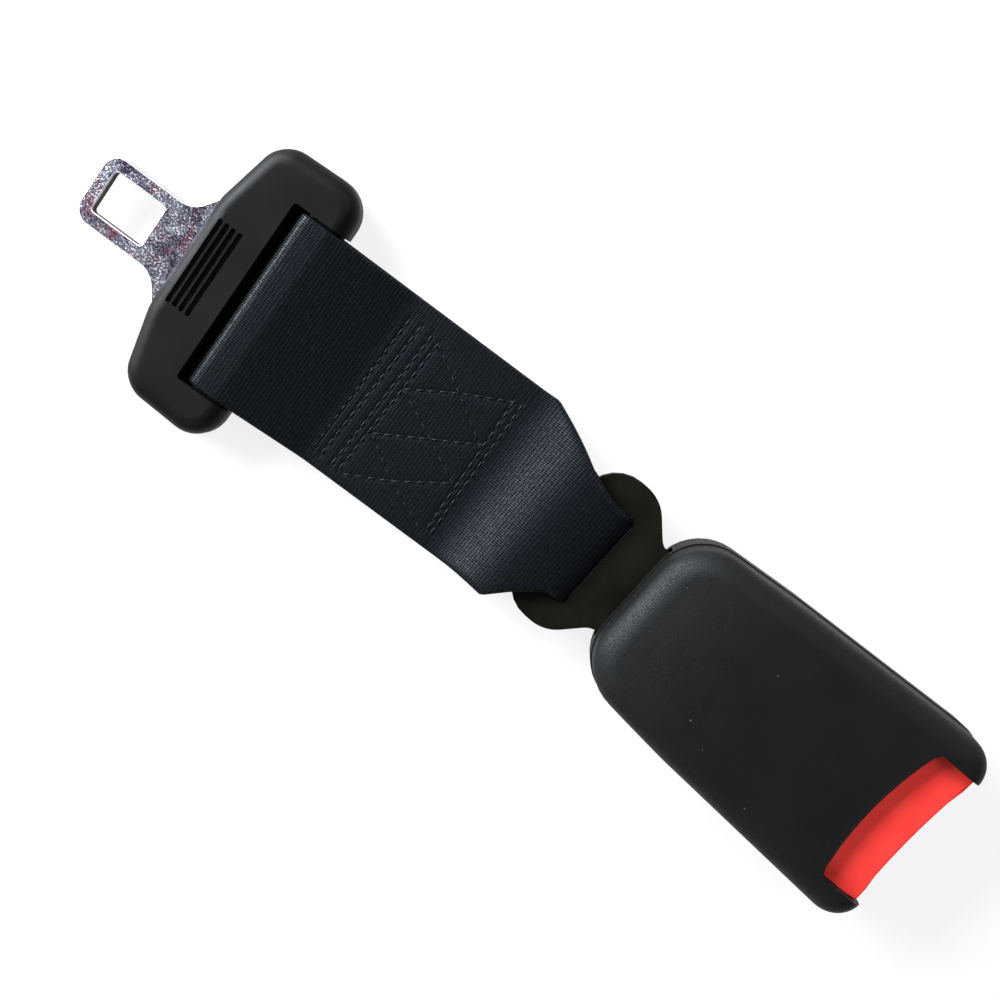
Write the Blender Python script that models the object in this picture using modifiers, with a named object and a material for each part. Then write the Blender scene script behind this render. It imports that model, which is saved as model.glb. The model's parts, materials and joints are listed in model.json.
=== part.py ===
"""Seat belt extender: a tongue, a sewn loop of webbing and a push-button buckle, lying flat.

Lengths are in metres. Every piece is drawn along X from the tongue's tip, with Z up from the table and the
belt's centre line at Y = 0. The buckle is drawn straight too, and then turned a little on the webbing's loop.
"""

import math

import bmesh
import bpy
from mathutils import Matrix, Vector

# Fits
GAP = 0.0003
LOOSE = 0.0012
OVERSHOOT = 0.0020

# Tongue
TONGUE_THICK = 0.0028
TONGUE_WIDTH = 0.0178
TONGUE_TIP_ROUND = 0.0042
TONGUE_NECK = 0.0226
TONGUE_NECK_ROUND = 0.0058
TONGUE_BASE_WIDTH = 0.0300
TONGUE_EDGE_ROUND = 0.0004
HOLE_MARGIN = 0.0033
HOLE_LENGTH = 0.0142
HOLE_WIDTH = 0.0109
HOLE_ROUND = 0.0008
TONGUE_RIM = 0.0018

# Plastic cover of the tongue, and the bar that the webbing goes round
COVER_FRONT = 0.0269
COVER_THICK = 0.0108
COVER_RIM_ROUND = 0.0038
COVER_SWEEP = 0.0046
COVER_SWEEP_ROUND = 0.0150
COVER_FRONT_ROUND = 0.0078
COVER_REAR_ROUND = 0.0080
COVER_SLOT_BACK = 0.0155
COVER_SLOT_LENGTH = 0.0022
COVER_BAR_LENGTH = 0.0106
COVER_BAR_THICK = 0.0066
COVER_TAIL = 0.0011
COVER_WALL = 0.0026
COVER_BACK_WALL = 0.0021
GROOVE_COUNT = 4
GROOVE_PITCH = 0.00183
GROOVE_LENGTH = 0.0230
GROOVE_WIDTH = 0.0010
GROOVE_DEPTH = 0.0009
GROOVE_BACK = 0.0040

# Webbing
WEBBING_WIDTH = 0.0480
WEBBING_THICK = 0.0013
WEBBING_LIFT = 0.0004
TONGUE_LOOP = 0.0211
SEWN_LAYERS = 3
SEWN_LENGTH = 0.0366
PLATE_LOOP = 0.0212
FOLD_THICK = 0.0022
FOLD_START_LEFT = 0.0155
FOLD_KNEE_LEFT = (0.0, 0.0159)
FOLD_START_RIGHT = 0.0013
FOLD_KNEE_RIGHT = (0.0037, 0.0185)
GATHER_START = 0.0098
GATHER_WIDTH = 0.0232

# Anchor plate
PLATE_THICK = 0.0026
PLATE_WIDTH = 0.0422
PLATE_BAR = 0.0062
PLATE_SLOT_LENGTH = 0.0084
PLATE_SLOT_WIDTH = 0.0270
PLATE_SLOT_ROUND = 0.0025
PLATE_SHOULDER = 0.0152
PLATE_NECK = 0.0232
PLATE_NECK_WIDTH = 0.0253
PLATE_ROUND = 0.0093
PLATE_NECK_ROUND = 0.0050
PLATE_TAIL = 0.0170
PLATE_EDGE_ROUND = 0.0003

# Buckle covers
BUCKLE_TURN = math.radians(-4.0)
BUCKLE_BACK = 0.0245
BUCKLE_LENGTH = 0.0878
BUCKLE_WAIST = 0.0300
BUCKLE_SIDE_BACK = 0.0023
BUCKLE_SIDE_WAIST = 0.0050
BUCKLE_SIDE_FRONT = 0.0083
BUCKLE_ROUND_BACK = 0.0130
BUCKLE_ROUND_WAIST = 0.0600
BUCKLE_ROUND_FRONT = 0.0078
BUCKLE_HEIGHT = 0.0230
BUCKLE_TOP_ROUND = 0.0055
BUCKLE_LEAN = 0.02
BUCKLE_BOTTOM_ROUND = 0.0036
PARTING_HEIGHT = 0.0105
LEDGE = 0.0003
SHELL_WALL = 0.0020

# Steel channel inside the buckle
FRAME_THICK = 0.0020
FRAME_LIFT = 0.0036
FRAME_INSIDE = 0.0280
FRAME_BACK = 0.0060
FRAME_WALL_BACK = 0.0194
FRAME_FRONT = 0.0132
FRAME_TOP = 0.0203
FRAME_HIGH_FRONT = 0.0274
FRAME_LOW_TOP = 0.0168
FRAME_SLOPE_FRONT = 0.0216
FRAME_NOSE_TOP = 0.0132
CHANNEL_HEIGHT = 0.0046
RIVET_BACK = 0.0120
RIVET_APART = 0.0130
RIVET_RADIUS = 0.0022
RIVET_HEAD_RADIUS = 0.0037
RIVET_HEAD = 0.0009

# Latch and ejector
INSERT_DEPTH = 0.0263
EJECTOR_TRAVEL = 0.0110
EJECTOR_LENGTH = 0.0320
EJECTOR_THICK = 0.0030
EJECTOR_SIDE_GAP = 0.0008
EJECTOR_RAMP_TOP = 0.0112
EJECTOR_RAMP_LENGTH = 0.0087
EJECTOR_RAMP_FLAT = 0.0040
NOSE_LENGTH = 0.0035
NOSE_WIDTH = 0.0095
LATCH_REACH = 0.0300
LATCH_PIVOT_HEIGHT = 0.0146
LATCH_ARM_BOTTOM = 0.0142
LATCH_ARM_THICK = 0.0022
LATCH_WIDTH = 0.0200
LATCH_KNUCKLE_RADIUS = 0.0028
LATCH_HEEL = 0.0153
LATCH_HEEL_LENGTH = 0.0020
LATCH_HEEL_GAP = 0.0007
LATCH_PIN_RADIUS = 0.0015

# Button and lock bar
BUTTON_SIDE_GAP = 0.0018
BUTTON_WALL = 0.0018
BUTTON_TOP = 0.0202
BUTTON_LIP = 0.0192
BUTTON_BACK = 0.0216
BUTTON_SLOPE_BACK = 0.0166
BUTTON_FRONT = 0.0016
BUTTON_FRONT_WALL = 0.0036
BUTTON_TRAVEL = 0.0050
BUTTON_SCOOP = 0.0011
BUTTON_ARM_LENGTH = 0.0244
BUTTON_ARM_HEIGHT = 0.0037
CUTOUT_DEPTH = 0.0141
CUTOUT_BOW = 0.0024
CHEEK_WALL = 0.0015
LOCK_BAR_RADIUS = 0.0010
LOCK_BAR_BACK = 0.0310
LOCK_BAR_HEIGHT = 0.0183

# Mouth
GUIDE_LENGTH = 0.0123
GUIDE_WALL = 0.0020
GUIDE_ROOF = 0.0009
MOUTH_WIDTH = 0.0312
MOUTH_FLARE = 0.0007

# Springs
WIRE_RADIUS = 0.00028
BUTTON_SPRING_RADIUS = 0.0012
BUTTON_SPRING_LENGTH = 0.0137
BUTTON_SPRING_TURNS = 8
EJECTOR_SPRING_RADIUS = 0.0010
EJECTOR_SPRING_TURNS = 9
LATCH_SPRING_RADIUS = 0.0022
LATCH_SPRING_TURNS = 3
LATCH_SPRING_BACK = 0.0090
SEAT_LENGTH = 0.0023
PEG_RADIUS = 0.0013
PEG_LENGTH = 0.0014

# Widths that the pieces share
COVER_WIDTH = WEBBING_WIDTH + 2 * (2 * LOOSE + TONGUE_RIM + COVER_FRONT_ROUND)
BUTTON_WIDTH = FRAME_INSIDE + 2 * (FRAME_THICK + BUTTON_SIDE_GAP + BUTTON_WALL)

# Heights that the pieces share
COVER_MIDDLE = COVER_THICK / 2
FRAME_DECK = FRAME_LIFT + FRAME_THICK
PLATE_BOTTOM = FRAME_DECK + GAP
PLATE_TOP = PLATE_BOTTOM + PLATE_THICK
PLATE_MIDDLE = PLATE_BOTTOM + PLATE_THICK / 2
CHANNEL_TOP = FRAME_DECK + CHANNEL_HEIGHT
NOSE_BOTTOM = CHANNEL_TOP + GAP / 2
LATCH_ARM_TOP = LATCH_ARM_BOTTOM + LATCH_ARM_THICK
GUIDE_TOP = CHANNEL_TOP + GUIDE_ROOF
BUTTON_BOTTOM = GUIDE_TOP + GAP
BUTTON_SPRING_HEIGHT = BUTTON_TOP - BUTTON_ARM_HEIGHT / 2
SEWN_TOP = WEBBING_LIFT + SEWN_LAYERS * WEBBING_THICK

# Places along X, from the tongue's tip
SLOT_FRONT = COVER_FRONT + COVER_SLOT_BACK
BAR_FRONT = SLOT_FRONT + COVER_SLOT_LENGTH
BAR_REAR = BAR_FRONT + COVER_BAR_LENGTH
COVER_REAR = BAR_REAR + COVER_TAIL
BAR_AXIS = BAR_FRONT + COVER_BAR_THICK / 2
SEWN_START = BAR_REAR + TONGUE_LOOP
SEWN_END = SEWN_START + SEWN_LENGTH
PLATE_START = SEWN_END + PLATE_LOOP
LOOP_AXIS = PLATE_START + PLATE_BAR / 2
PLATE_SLOT = PLATE_START + PLATE_BAR
PLATE_SLOT_END = PLATE_SLOT + PLATE_SLOT_LENGTH
BUCKLE_START = PLATE_START + BUCKLE_BACK
BUCKLE_END = BUCKLE_START + BUCKLE_LENGTH
PLATE_END = BUCKLE_START + PLATE_TAIL
RIVET_X = BUCKLE_START + RIVET_BACK
FRAME_START = BUCKLE_START + FRAME_BACK
FRAME_WALL_START = BUCKLE_START + FRAME_WALL_BACK
FRAME_END = BUCKLE_END - FRAME_FRONT
EJECTOR_FRONT = BUCKLE_END - INSERT_DEPTH + EJECTOR_TRAVEL - GAP
EJECTOR_BACK = EJECTOR_FRONT - EJECTOR_LENGTH
NOSE_BACK = BUCKLE_END - INSERT_DEPTH + HOLE_MARGIN + GAP
PIVOT_X = NOSE_BACK - LATCH_REACH
BUTTON_START = BUCKLE_END - BUTTON_BACK
BUTTON_END = BUCKLE_END - BUTTON_FRONT
BUTTON_ARM_START = BUTTON_START - BUTTON_ARM_LENGTH
LOCK_BAR_X = BUCKLE_END - LOCK_BAR_BACK
MIDDLE = (LOOP_AXIS + (BUCKLE_END - LOOP_AXIS) * math.cos(BUCKLE_TURN)) / 2

BLACK = (0.012, 0.012, 0.013, 1.0)
COLOURS = {
    "chrome": ((0.62, 0.60, 0.66, 1.0), 0.22, 1.0),
    "black_plastic": (BLACK, 0.45, 0.0),
    "polyester": ((0.010, 0.011, 0.018, 1.0), 0.80, 0.0),
    "black_steel": ((0.020, 0.019, 0.018, 1.0), 0.40, 0.6),
    "zinc_steel": ((0.50, 0.50, 0.48, 1.0), 0.35, 1.0),
    "spring_steel": ((0.45, 0.45, 0.46, 1.0), 0.30, 1.0),
    "red_plastic": ((0.80, 0.055, 0.045, 1.0), 0.40, 0.0),
    "grey_plastic": ((0.10, 0.10, 0.11, 1.0), 0.50, 0.0),
}


def start_empty():
    for item in list(bpy.data.objects):
        bpy.data.objects.remove(item, do_unlink=True)
    for name in ("seat_belt_extender", "cutters"):
        bpy.context.scene.collection.children.link(bpy.data.collections.new(name))


def paint(item, name):
    """Gives a piece the named material, made on its first use."""
    finish = bpy.data.materials.get(name)
    if finish is None:
        colour, roughness, metallic = COLOURS[name]
        finish = bpy.data.materials.new(name)
        finish.use_nodes = True
        shader = finish.node_tree.nodes["Principled BSDF"]
        shader.inputs["Base Color"].default_value = colour
        shader.inputs["Roughness"].default_value = roughness
        shader.inputs["Metallic"].default_value = metallic
        finish.diffuse_color = colour
    item.data.materials.clear()
    item.data.materials.append(finish)


def add(name, data):
    item = bpy.data.objects.new(name, data)
    bpy.data.collections["seat_belt_extender"].objects.link(item)
    return item


def axis(name, place, parent=None):
    """An empty on a joint's axis. What it carries is drawn in the belt's own coordinates."""
    empty = add(name, None)
    empty.location = place
    empty["drawn_at"] = list(place)
    if parent:
        empty.parent = parent
        empty.matrix_parent_inverse = Matrix.Translation(-Vector(parent["drawn_at"]))
    return empty


def carry(holder, *pieces):
    for piece in pieces:
        piece.parent = holder
        piece.matrix_parent_inverse = Matrix.Translation(-Vector(holder["drawn_at"]))


def shape(body, tool, operation):
    """Cuts a body with a tool or joins the tool to it. The tool moves with the body from then on."""
    change = body.modifiers.new(tool.name, "BOOLEAN")
    change.operation = operation
    change.object = tool
    tool.parent = body
    tool.hide_render = True
    tool.display_type = "WIRE"
    bpy.data.collections["cutters"].objects.link(tool)
    bpy.data.collections["seat_belt_extender"].objects.unlink(tool)


def cut(body, *tools):
    for tool in tools:
        shape(body, tool, "DIFFERENCE")


def join(body, *tools):
    for tool in tools:
        shape(body, tool, "UNION")


def rounded(corners, steps=6):
    """The points of a closed outline. Each corner is (x, y, radius)."""
    points = []
    for i, (x, y, radius) in enumerate(corners):
        corner = Vector((x, y))
        if radius == 0:
            points.append(corner)
            continue
        before = (Vector(corners[i - 1][:2]) - corner).normalized()
        after = (Vector(corners[(i + 1) % len(corners)][:2]) - corner).normalized()
        half = before.angle(after) / 2
        centre = corner + (before + after).normalized() * radius / math.sin(half)
        arm = corner + before * radius / math.tan(half) - centre
        turn = math.pi - 2 * half
        if before.x * after.y - before.y * after.x > 0:
            turn = -turn
        for k in range(steps + 1):
            points.append(centre + Matrix.Rotation(turn * k / steps, 2) @ arm)
    return points


def both_sides(half):
    """A whole outline from the corners of its left half, which run along +X."""
    return half + [(x, -y, radius) for x, y, radius in reversed(half)]


def box_corners(x_low, x_high, y_low, y_high, radius=0.0):
    return [(x_low, y_low, radius), (x_high, y_low, radius), (x_high, y_high, radius), (x_low, y_high, radius)]


def grown(points, by):
    """An outline moved outwards by a distance, or inwards where it is negative."""
    area = sum(a.x * b.y - b.x * a.y for a, b in zip(points, points[1:] + points[:1]))
    side = 1 if area > 0 else -1
    moved = []
    for i, point in enumerate(points):
        before = (point - points[i - 1]).normalized()
        after = (points[(i + 1) % len(points)] - point).normalized()
        outward = (Vector((before.y, -before.x)) + Vector((after.y, -after.x))).normalized()
        stretch = max(outward.dot(Vector((after.y, -after.x))), 0.2)
        moved.append(point + outward * side * by / stretch)
    return moved


def arc(x, y, radius_x, radius_y, start, end, steps):
    """Points round an ellipse, between two angles in degrees."""
    angles = [math.radians(start + (end - start) * k / steps) for k in range(steps + 1)]
    return [Vector((x + radius_x * math.cos(a), y + radius_y * math.sin(a))) for a in angles]


def stand(data):
    """Turns a mesh drawn flat so that its Y becomes Z. Its thickness then runs along Y."""
    data.transform(Matrix.Rotation(math.pi / 2, 4, "X"))


def prism(name, points, low, high, side=False):
    """A solid over one outline, from low to high along Z. With side, the outline is (x, z) and runs along Y."""
    mesh = bmesh.new()
    face = mesh.faces.new([mesh.verts.new((p.x, p.y, low)) for p in points])
    top = bmesh.ops.extrude_face_region(mesh, geom=[face])["geom"]
    bmesh.ops.translate(mesh, vec=(0, 0, high - low), verts=[v for v in top if isinstance(v, bmesh.types.BMVert)])
    bmesh.ops.recalc_face_normals(mesh, faces=mesh.faces)
    data = bpy.data.meshes.new(name)
    mesh.to_mesh(data)
    mesh.free()
    if side:
        stand(data)
    return add(name, data)


def sheet(name, outlines, low, high, side=False):
    """A flat plate with holes, from low to high: the first outline is its edge and the rest are its holes."""
    drawing = bpy.data.curves.new(name, "CURVE")
    drawing.dimensions = "2D"
    drawing.fill_mode = "BOTH"
    drawing.extrude = (high - low) / 2
    for outline in outlines:
        spline = drawing.splines.new("POLY")
        spline.points.add(len(outline) - 1)
        for point, place in zip(spline.points, outline):
            point.co = (place.x, place.y, 0, 1)
        spline.use_cyclic_u = True
    drawn = add(name + "_drawn", drawing)
    data = bpy.data.meshes.new_from_object(drawn.evaluated_get(bpy.context.evaluated_depsgraph_get()))
    bpy.data.objects.remove(drawn)
    mesh = bmesh.new()
    mesh.from_mesh(data)
    bmesh.ops.remove_doubles(mesh, verts=mesh.verts, dist=1e-7)
    bmesh.ops.translate(mesh, vec=(0, 0, (low + high) / 2), verts=mesh.verts)
    bmesh.ops.recalc_face_normals(mesh, faces=mesh.faces)
    mesh.to_mesh(data)
    mesh.free()
    data.name = name
    if side:
        stand(data)
    return add(name, data)


def block(name, x_low, x_high, y_low, y_high, z_low, z_high):
    mesh = bmesh.new()
    bmesh.ops.create_cube(mesh, size=1)
    size = Matrix.Diagonal((x_high - x_low, y_high - y_low, z_high - z_low, 1))
    middle = Vector((x_low + x_high, y_low + y_high, z_low + z_high)) / 2
    bmesh.ops.transform(mesh, matrix=Matrix.Translation(middle) @ size, verts=mesh.verts)
    data = bpy.data.meshes.new(name)
    mesh.to_mesh(data)
    mesh.free()
    return add(name, data)


def rod(name, start, end, radius, sides=24):
    start, end = Vector(start), Vector(end)
    mesh = bmesh.new()
    length = (end - start).length
    bmesh.ops.create_cone(mesh, cap_ends=True, segments=sides, radius1=radius, radius2=radius, depth=length)
    turn = (end - start).to_track_quat("Z", "Y").to_matrix().to_4x4()
    bmesh.ops.transform(mesh, matrix=Matrix.Translation((start + end) / 2) @ turn, verts=mesh.verts)
    data = bpy.data.meshes.new(name)
    mesh.to_mesh(data)
    mesh.free()
    return add(name, data)


def coil(name, start, end, radius, turns):
    """A coil spring of round wire whose ends lie at two points."""
    start, end = Vector(start), Vector(end)
    along = (end - start).normalized()
    first = along.orthogonal().normalized()
    second = along.cross(first)
    drawing = bpy.data.curves.new(name, "CURVE")
    drawing.dimensions = "3D"
    drawing.bevel_depth = WIRE_RADIUS
    drawing.bevel_resolution = 1
    drawing.use_fill_caps = True
    count = 12 * turns + 1
    spline = drawing.splines.new("POLY")
    spline.points.add(count - 1)
    inside = (end - start).length - 2 * WIRE_RADIUS
    for k, point in enumerate(spline.points):
        share = k / (count - 1)
        angle = 2 * math.pi * turns * share
        place = start + along * (WIRE_RADIUS + inside * share)
        place += (first * math.cos(angle) + second * math.sin(angle)) * radius
        point.co = (*place, 1)
    return add(name, drawing)


def round_rim(item, height, radius, steps=4):
    """Rounds the edges of a prism that lie at one height, between a flat face and the sides."""
    mesh = bmesh.new()
    mesh.from_mesh(item.data)
    rim = [
        edge
        for edge in mesh.edges
        if all(abs(v.co.z - height) < 1e-6 for v in edge.verts) and edge.calc_face_angle() > 1.0
    ]
    bmesh.ops.bevel(mesh, geom=rim, offset=radius, segments=steps, profile=0.5, affect="EDGES")
    mesh.to_mesh(item.data)
    mesh.free()


def soften(item, width, steps=1):
    """Breaks the sharp edges of a plate."""
    bevel = item.modifiers.new("edges", "BEVEL")
    bevel.width = width
    bevel.segments = steps
    bevel.limit_method = "ANGLE"
    bevel.angle_limit = math.radians(50)


def smooth(item):
    if item.type == "MESH":
        item.data.shade_smooth()
        item.data.set_sharp_from_angle(angle=math.radians(35))


def tongue_outline():
    """The stamped tongue seen from above: a narrow shank that flares into a wide end inside the cover."""
    half = TONGUE_WIDTH / 2
    base = TONGUE_BASE_WIDTH / 2
    flare = (base - half) / (COVER_FRONT - TONGUE_NECK)
    inner_half = COVER_WIDTH / 2 - COVER_FRONT_ROUND
    shoulder = COVER_FRONT + COVER_SWEEP + COVER_WALL
    wide = [
        (0, half, TONGUE_TIP_ROUND),
        (TONGUE_NECK, half, TONGUE_NECK_ROUND),
        (COVER_FRONT + COVER_WALL, base + COVER_WALL * flare, 0),
        (shoulder, inner_half, COVER_WALL),
        (BAR_REAR - COVER_BACK_WALL, inner_half, COVER_WALL),
    ]
    return rounded(both_sides(wide))


def tongue_slot():
    """The slot in the steel, inside the cover, that the webbing passes through."""
    side = WEBBING_WIDTH / 2 + 2 * LOOSE
    return rounded(box_corners(SLOT_FRONT - LOOSE, BAR_FRONT + LOOSE, -side, side, 1.5 * LOOSE), steps=3)


def make_tongue_plate():
    hole = box_corners(HOLE_MARGIN, HOLE_MARGIN + HOLE_LENGTH, -HOLE_WIDTH / 2, HOLE_WIDTH / 2, HOLE_ROUND)
    outlines = [tongue_outline(), rounded(hole, steps=3), tongue_slot()]
    low = COVER_MIDDLE - TONGUE_THICK / 2
    plate = sheet("tongue_plate", outlines, low, low + TONGUE_THICK)
    soften(plate, TONGUE_EDGE_ROUND)
    paint(plate, "chrome")
    return plate


def make_tongue_cover():
    half = COVER_WIDTH / 2
    outline = [
        (COVER_FRONT, TONGUE_BASE_WIDTH / 2, COVER_SWEEP_ROUND),
        (COVER_FRONT + COVER_SWEEP, half - LOOSE, COVER_FRONT_ROUND),
        (COVER_REAR, half, COVER_REAR_ROUND),
    ]
    cover = prism("tongue_cover", rounded(both_sides(outline), steps=7), 0, COVER_THICK)
    round_rim(cover, COVER_THICK, COVER_RIM_ROUND)
    round_rim(cover, 0, COVER_RIM_ROUND)

    side = WEBBING_WIDTH / 2 + LOOSE / 2
    opening = rounded(box_corners(SLOT_FRONT, COVER_REAR + COVER_REAR_ROUND, -side, side, LOOSE / 2), steps=3)
    cut(cover, prism("webbing_slot", opening, -OVERSHOOT, COVER_THICK + OVERSHOOT))

    bar_round = COVER_BAR_THICK / 2
    low, high = COVER_MIDDLE - bar_round, COVER_MIDDLE + bar_round
    section = rounded(box_corners(BAR_FRONT, BAR_REAR, low, high, bar_round - GAP / 2), steps=8)
    join(cover, prism("webbing_bar", section, -side - LOOSE, side + LOOSE, side=True))

    room = TONGUE_THICK / 2 + GAP
    seat = [grown(tongue_outline(), GAP), grown(tongue_slot(), -GAP)]
    cut(cover, sheet("tongue_seat", seat, COVER_MIDDLE - room, COVER_MIDDLE + room))

    for k in range(GROOVE_COUNT):
        x = COVER_FRONT + GROOVE_BACK + k * GROOVE_PITCH
        around = box_corners(
            x - GROOVE_WIDTH / 2, x + GROOVE_WIDTH / 2, -GROOVE_LENGTH / 2, GROOVE_LENGTH / 2, GROOVE_WIDTH * 0.49
        )
        top = COVER_THICK + OVERSHOOT
        cut(cover, prism(f"grip_groove_{k + 1}", rounded(around, steps=3), COVER_THICK - GROOVE_DEPTH, top))
    paint(cover, "black_plastic")
    return cover


def ease(share):
    """A smooth step from 0 to 1."""
    share = min(max(share, 0.0), 1.0)
    return share * share * (3 - 2 * share)


def webbing_profile():
    """The strap seen from the side, as (x, z): its outline, the room round the bar, and the room round the plate."""
    inner = COVER_BAR_THICK / 2 + GAP
    outer = inner + WEBBING_THICK
    bar_end = BAR_REAR - COVER_BAR_THICK / 2
    fall = math.atan2(COVER_MIDDLE - (SEWN_TOP - WEBBING_THICK), SEWN_START - bar_end)
    reach = math.hypot(SEWN_START - bar_end, COVER_MIDDLE - SEWN_TOP + WEBBING_THICK)
    lean = math.degrees(fall + math.asin(inner / reach))

    loop_half = PLATE_THICK / 2 + GAP + FOLD_THICK
    loop_x = PLATE_SLOT - GAP
    loop_reach = PLATE_SLOT_END - GAP - loop_x
    rise_end = PLATE_START - GAP
    steps = 10
    rise = []
    for k in range(1, steps):
        share = k / steps
        x = SEWN_END + (rise_end - SEWN_END) * share
        thick = WEBBING_THICK + (FOLD_THICK - WEBBING_THICK) * ease(share)
        top = SEWN_TOP + (PLATE_MIDDLE + loop_half - SEWN_TOP) * ease(share)
        bottom = WEBBING_LIFT + (PLATE_MIDDLE - loop_half - WEBBING_LIFT) * ease(share)
        rise.append((x, top, bottom, thick))

    outline = arc(BAR_AXIS, COVER_MIDDLE, outer, outer, 270, 90, 14)
    outline += arc(bar_end, COVER_MIDDLE, outer, outer, 90, 90 - lean, 3)
    outline += [Vector((SEWN_START, SEWN_TOP)), Vector((SEWN_END, SEWN_TOP))]
    outline += [Vector((x, top)) for x, top, bottom, thick in rise]
    outline += [Vector((rise_end, PLATE_MIDDLE + loop_half))]
    outline += arc(loop_x, PLATE_MIDDLE, loop_reach, loop_half, 90, -90, 14)
    outline += [Vector((rise_end, PLATE_MIDDLE - loop_half))]
    outline += [Vector((x, bottom)) for x, top, bottom, thick in reversed(rise)]
    outline += [Vector((SEWN_END, WEBBING_LIFT)), Vector((SEWN_START, WEBBING_LIFT))]

    floor = WEBBING_LIFT + WEBBING_THICK
    ceiling = SEWN_TOP - WEBBING_THICK
    tongue_room = arc(BAR_AXIS, COVER_MIDDLE, inner, inner, 270, 90, 12)
    tongue_room += arc(bar_end, COVER_MIDDLE, inner, inner, 90, 90 - lean, 3)
    tongue_room += [Vector((SEWN_START, ceiling)), Vector((SEWN_START, floor))]

    room_half = loop_half - FOLD_THICK
    plate_room = [Vector((SEWN_END, floor)), Vector((SEWN_END, ceiling))]
    plate_room += [Vector((x, top - thick)) for x, top, bottom, thick in rise]
    plate_room += [Vector((rise_end, PLATE_MIDDLE + room_half))]
    plate_room += arc(loop_x, PLATE_MIDDLE, loop_reach - FOLD_THICK, room_half, 90, -90, 12)
    plate_room += [Vector((rise_end, PLATE_MIDDLE - room_half))]
    plate_room += [Vector((x, bottom + thick)) for x, top, bottom, thick in reversed(rise)]
    return [outline, tongue_room, plate_room]


def webbing_half_width(x, start, knee):
    """Half the strap's width at x on one side, where its corner is folded in from start, with a knee on the way."""
    gathering = PLATE_START + GATHER_START
    folds = [
        (start, WEBBING_WIDTH / 2),
        (PLATE_START + knee[0], knee[1]),
        (gathering, PLATE_SLOT_WIDTH / 2 - GAP),
        (PLATE_SLOT_END, GATHER_WIDTH / 2),
    ]
    for (before, wide), (after, narrow) in zip(folds, folds[1:]):
        if x < after:
            return wide + (narrow - wide) * max(0, (x - before) / (after - before))
    return GATHER_WIDTH / 2


def make_webbing():
    half = WEBBING_WIDTH / 2
    strap = sheet("webbing", webbing_profile(), -half, half, side=True)
    for vertex in strap.data.vertices:
        left = vertex.co.y > 0
        lead, knee = (FOLD_START_LEFT, FOLD_KNEE_LEFT) if left else (FOLD_START_RIGHT, FOLD_KNEE_RIGHT)
        width = webbing_half_width(vertex.co.x, PLATE_START - lead, knee)
        share = ease((vertex.co.x - SEWN_END) / (PLATE_START - SEWN_END))
        turn = Matrix.Rotation(BUCKLE_TURN * share, 2)
        x, y = turn @ Vector((vertex.co.x - LOOP_AXIS, width if left else -width))
        vertex.co.x, vertex.co.y = LOOP_AXIS + x, y
    paint(strap, "polyester")
    return strap


def make_anchor_plate():
    half, neck = PLATE_WIDTH / 2, PLATE_NECK_WIDTH / 2
    edge = [
        (PLATE_START, half, PLATE_ROUND),
        (PLATE_START + PLATE_SHOULDER, half, PLATE_ROUND),
        (PLATE_START + PLATE_NECK, neck, PLATE_NECK_ROUND),
        (PLATE_END, neck, PLATE_BAR / 4),
    ]
    side = PLATE_SLOT_WIDTH / 2
    slot = rounded(box_corners(PLATE_SLOT, PLATE_SLOT_END, -side, side, PLATE_SLOT_ROUND))
    holes = [
        arc(RIVET_X, y, RIVET_RADIUS + GAP, RIVET_RADIUS + GAP, 0, 345, 23) for y in (-RIVET_APART / 2, RIVET_APART / 2)
    ]
    plate = sheet("anchor_plate", [rounded(both_sides(edge)), slot, *holes], PLATE_BOTTOM, PLATE_TOP)
    soften(plate, PLATE_EDGE_ROUND)
    paint(plate, "black_steel")
    return plate


def make_rivet(name, y):
    low = FRAME_LIFT - GAP
    high = PLATE_TOP + GAP
    rivet = rod(name, (RIVET_X, y, low - RIVET_HEAD), (RIVET_X, y, high + RIVET_HEAD), RIVET_RADIUS, 20)
    foot = rod(name + "_foot", (RIVET_X, y, low - RIVET_HEAD), (RIVET_X, y, low), RIVET_HEAD_RADIUS, 20)
    head = rod(name + "_head", (RIVET_X, y, high), (RIVET_X, y, high + RIVET_HEAD), RIVET_HEAD_RADIUS, 20)
    join(rivet, foot, head)
    paint(rivet, "zinc_steel")
    return rivet


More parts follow.
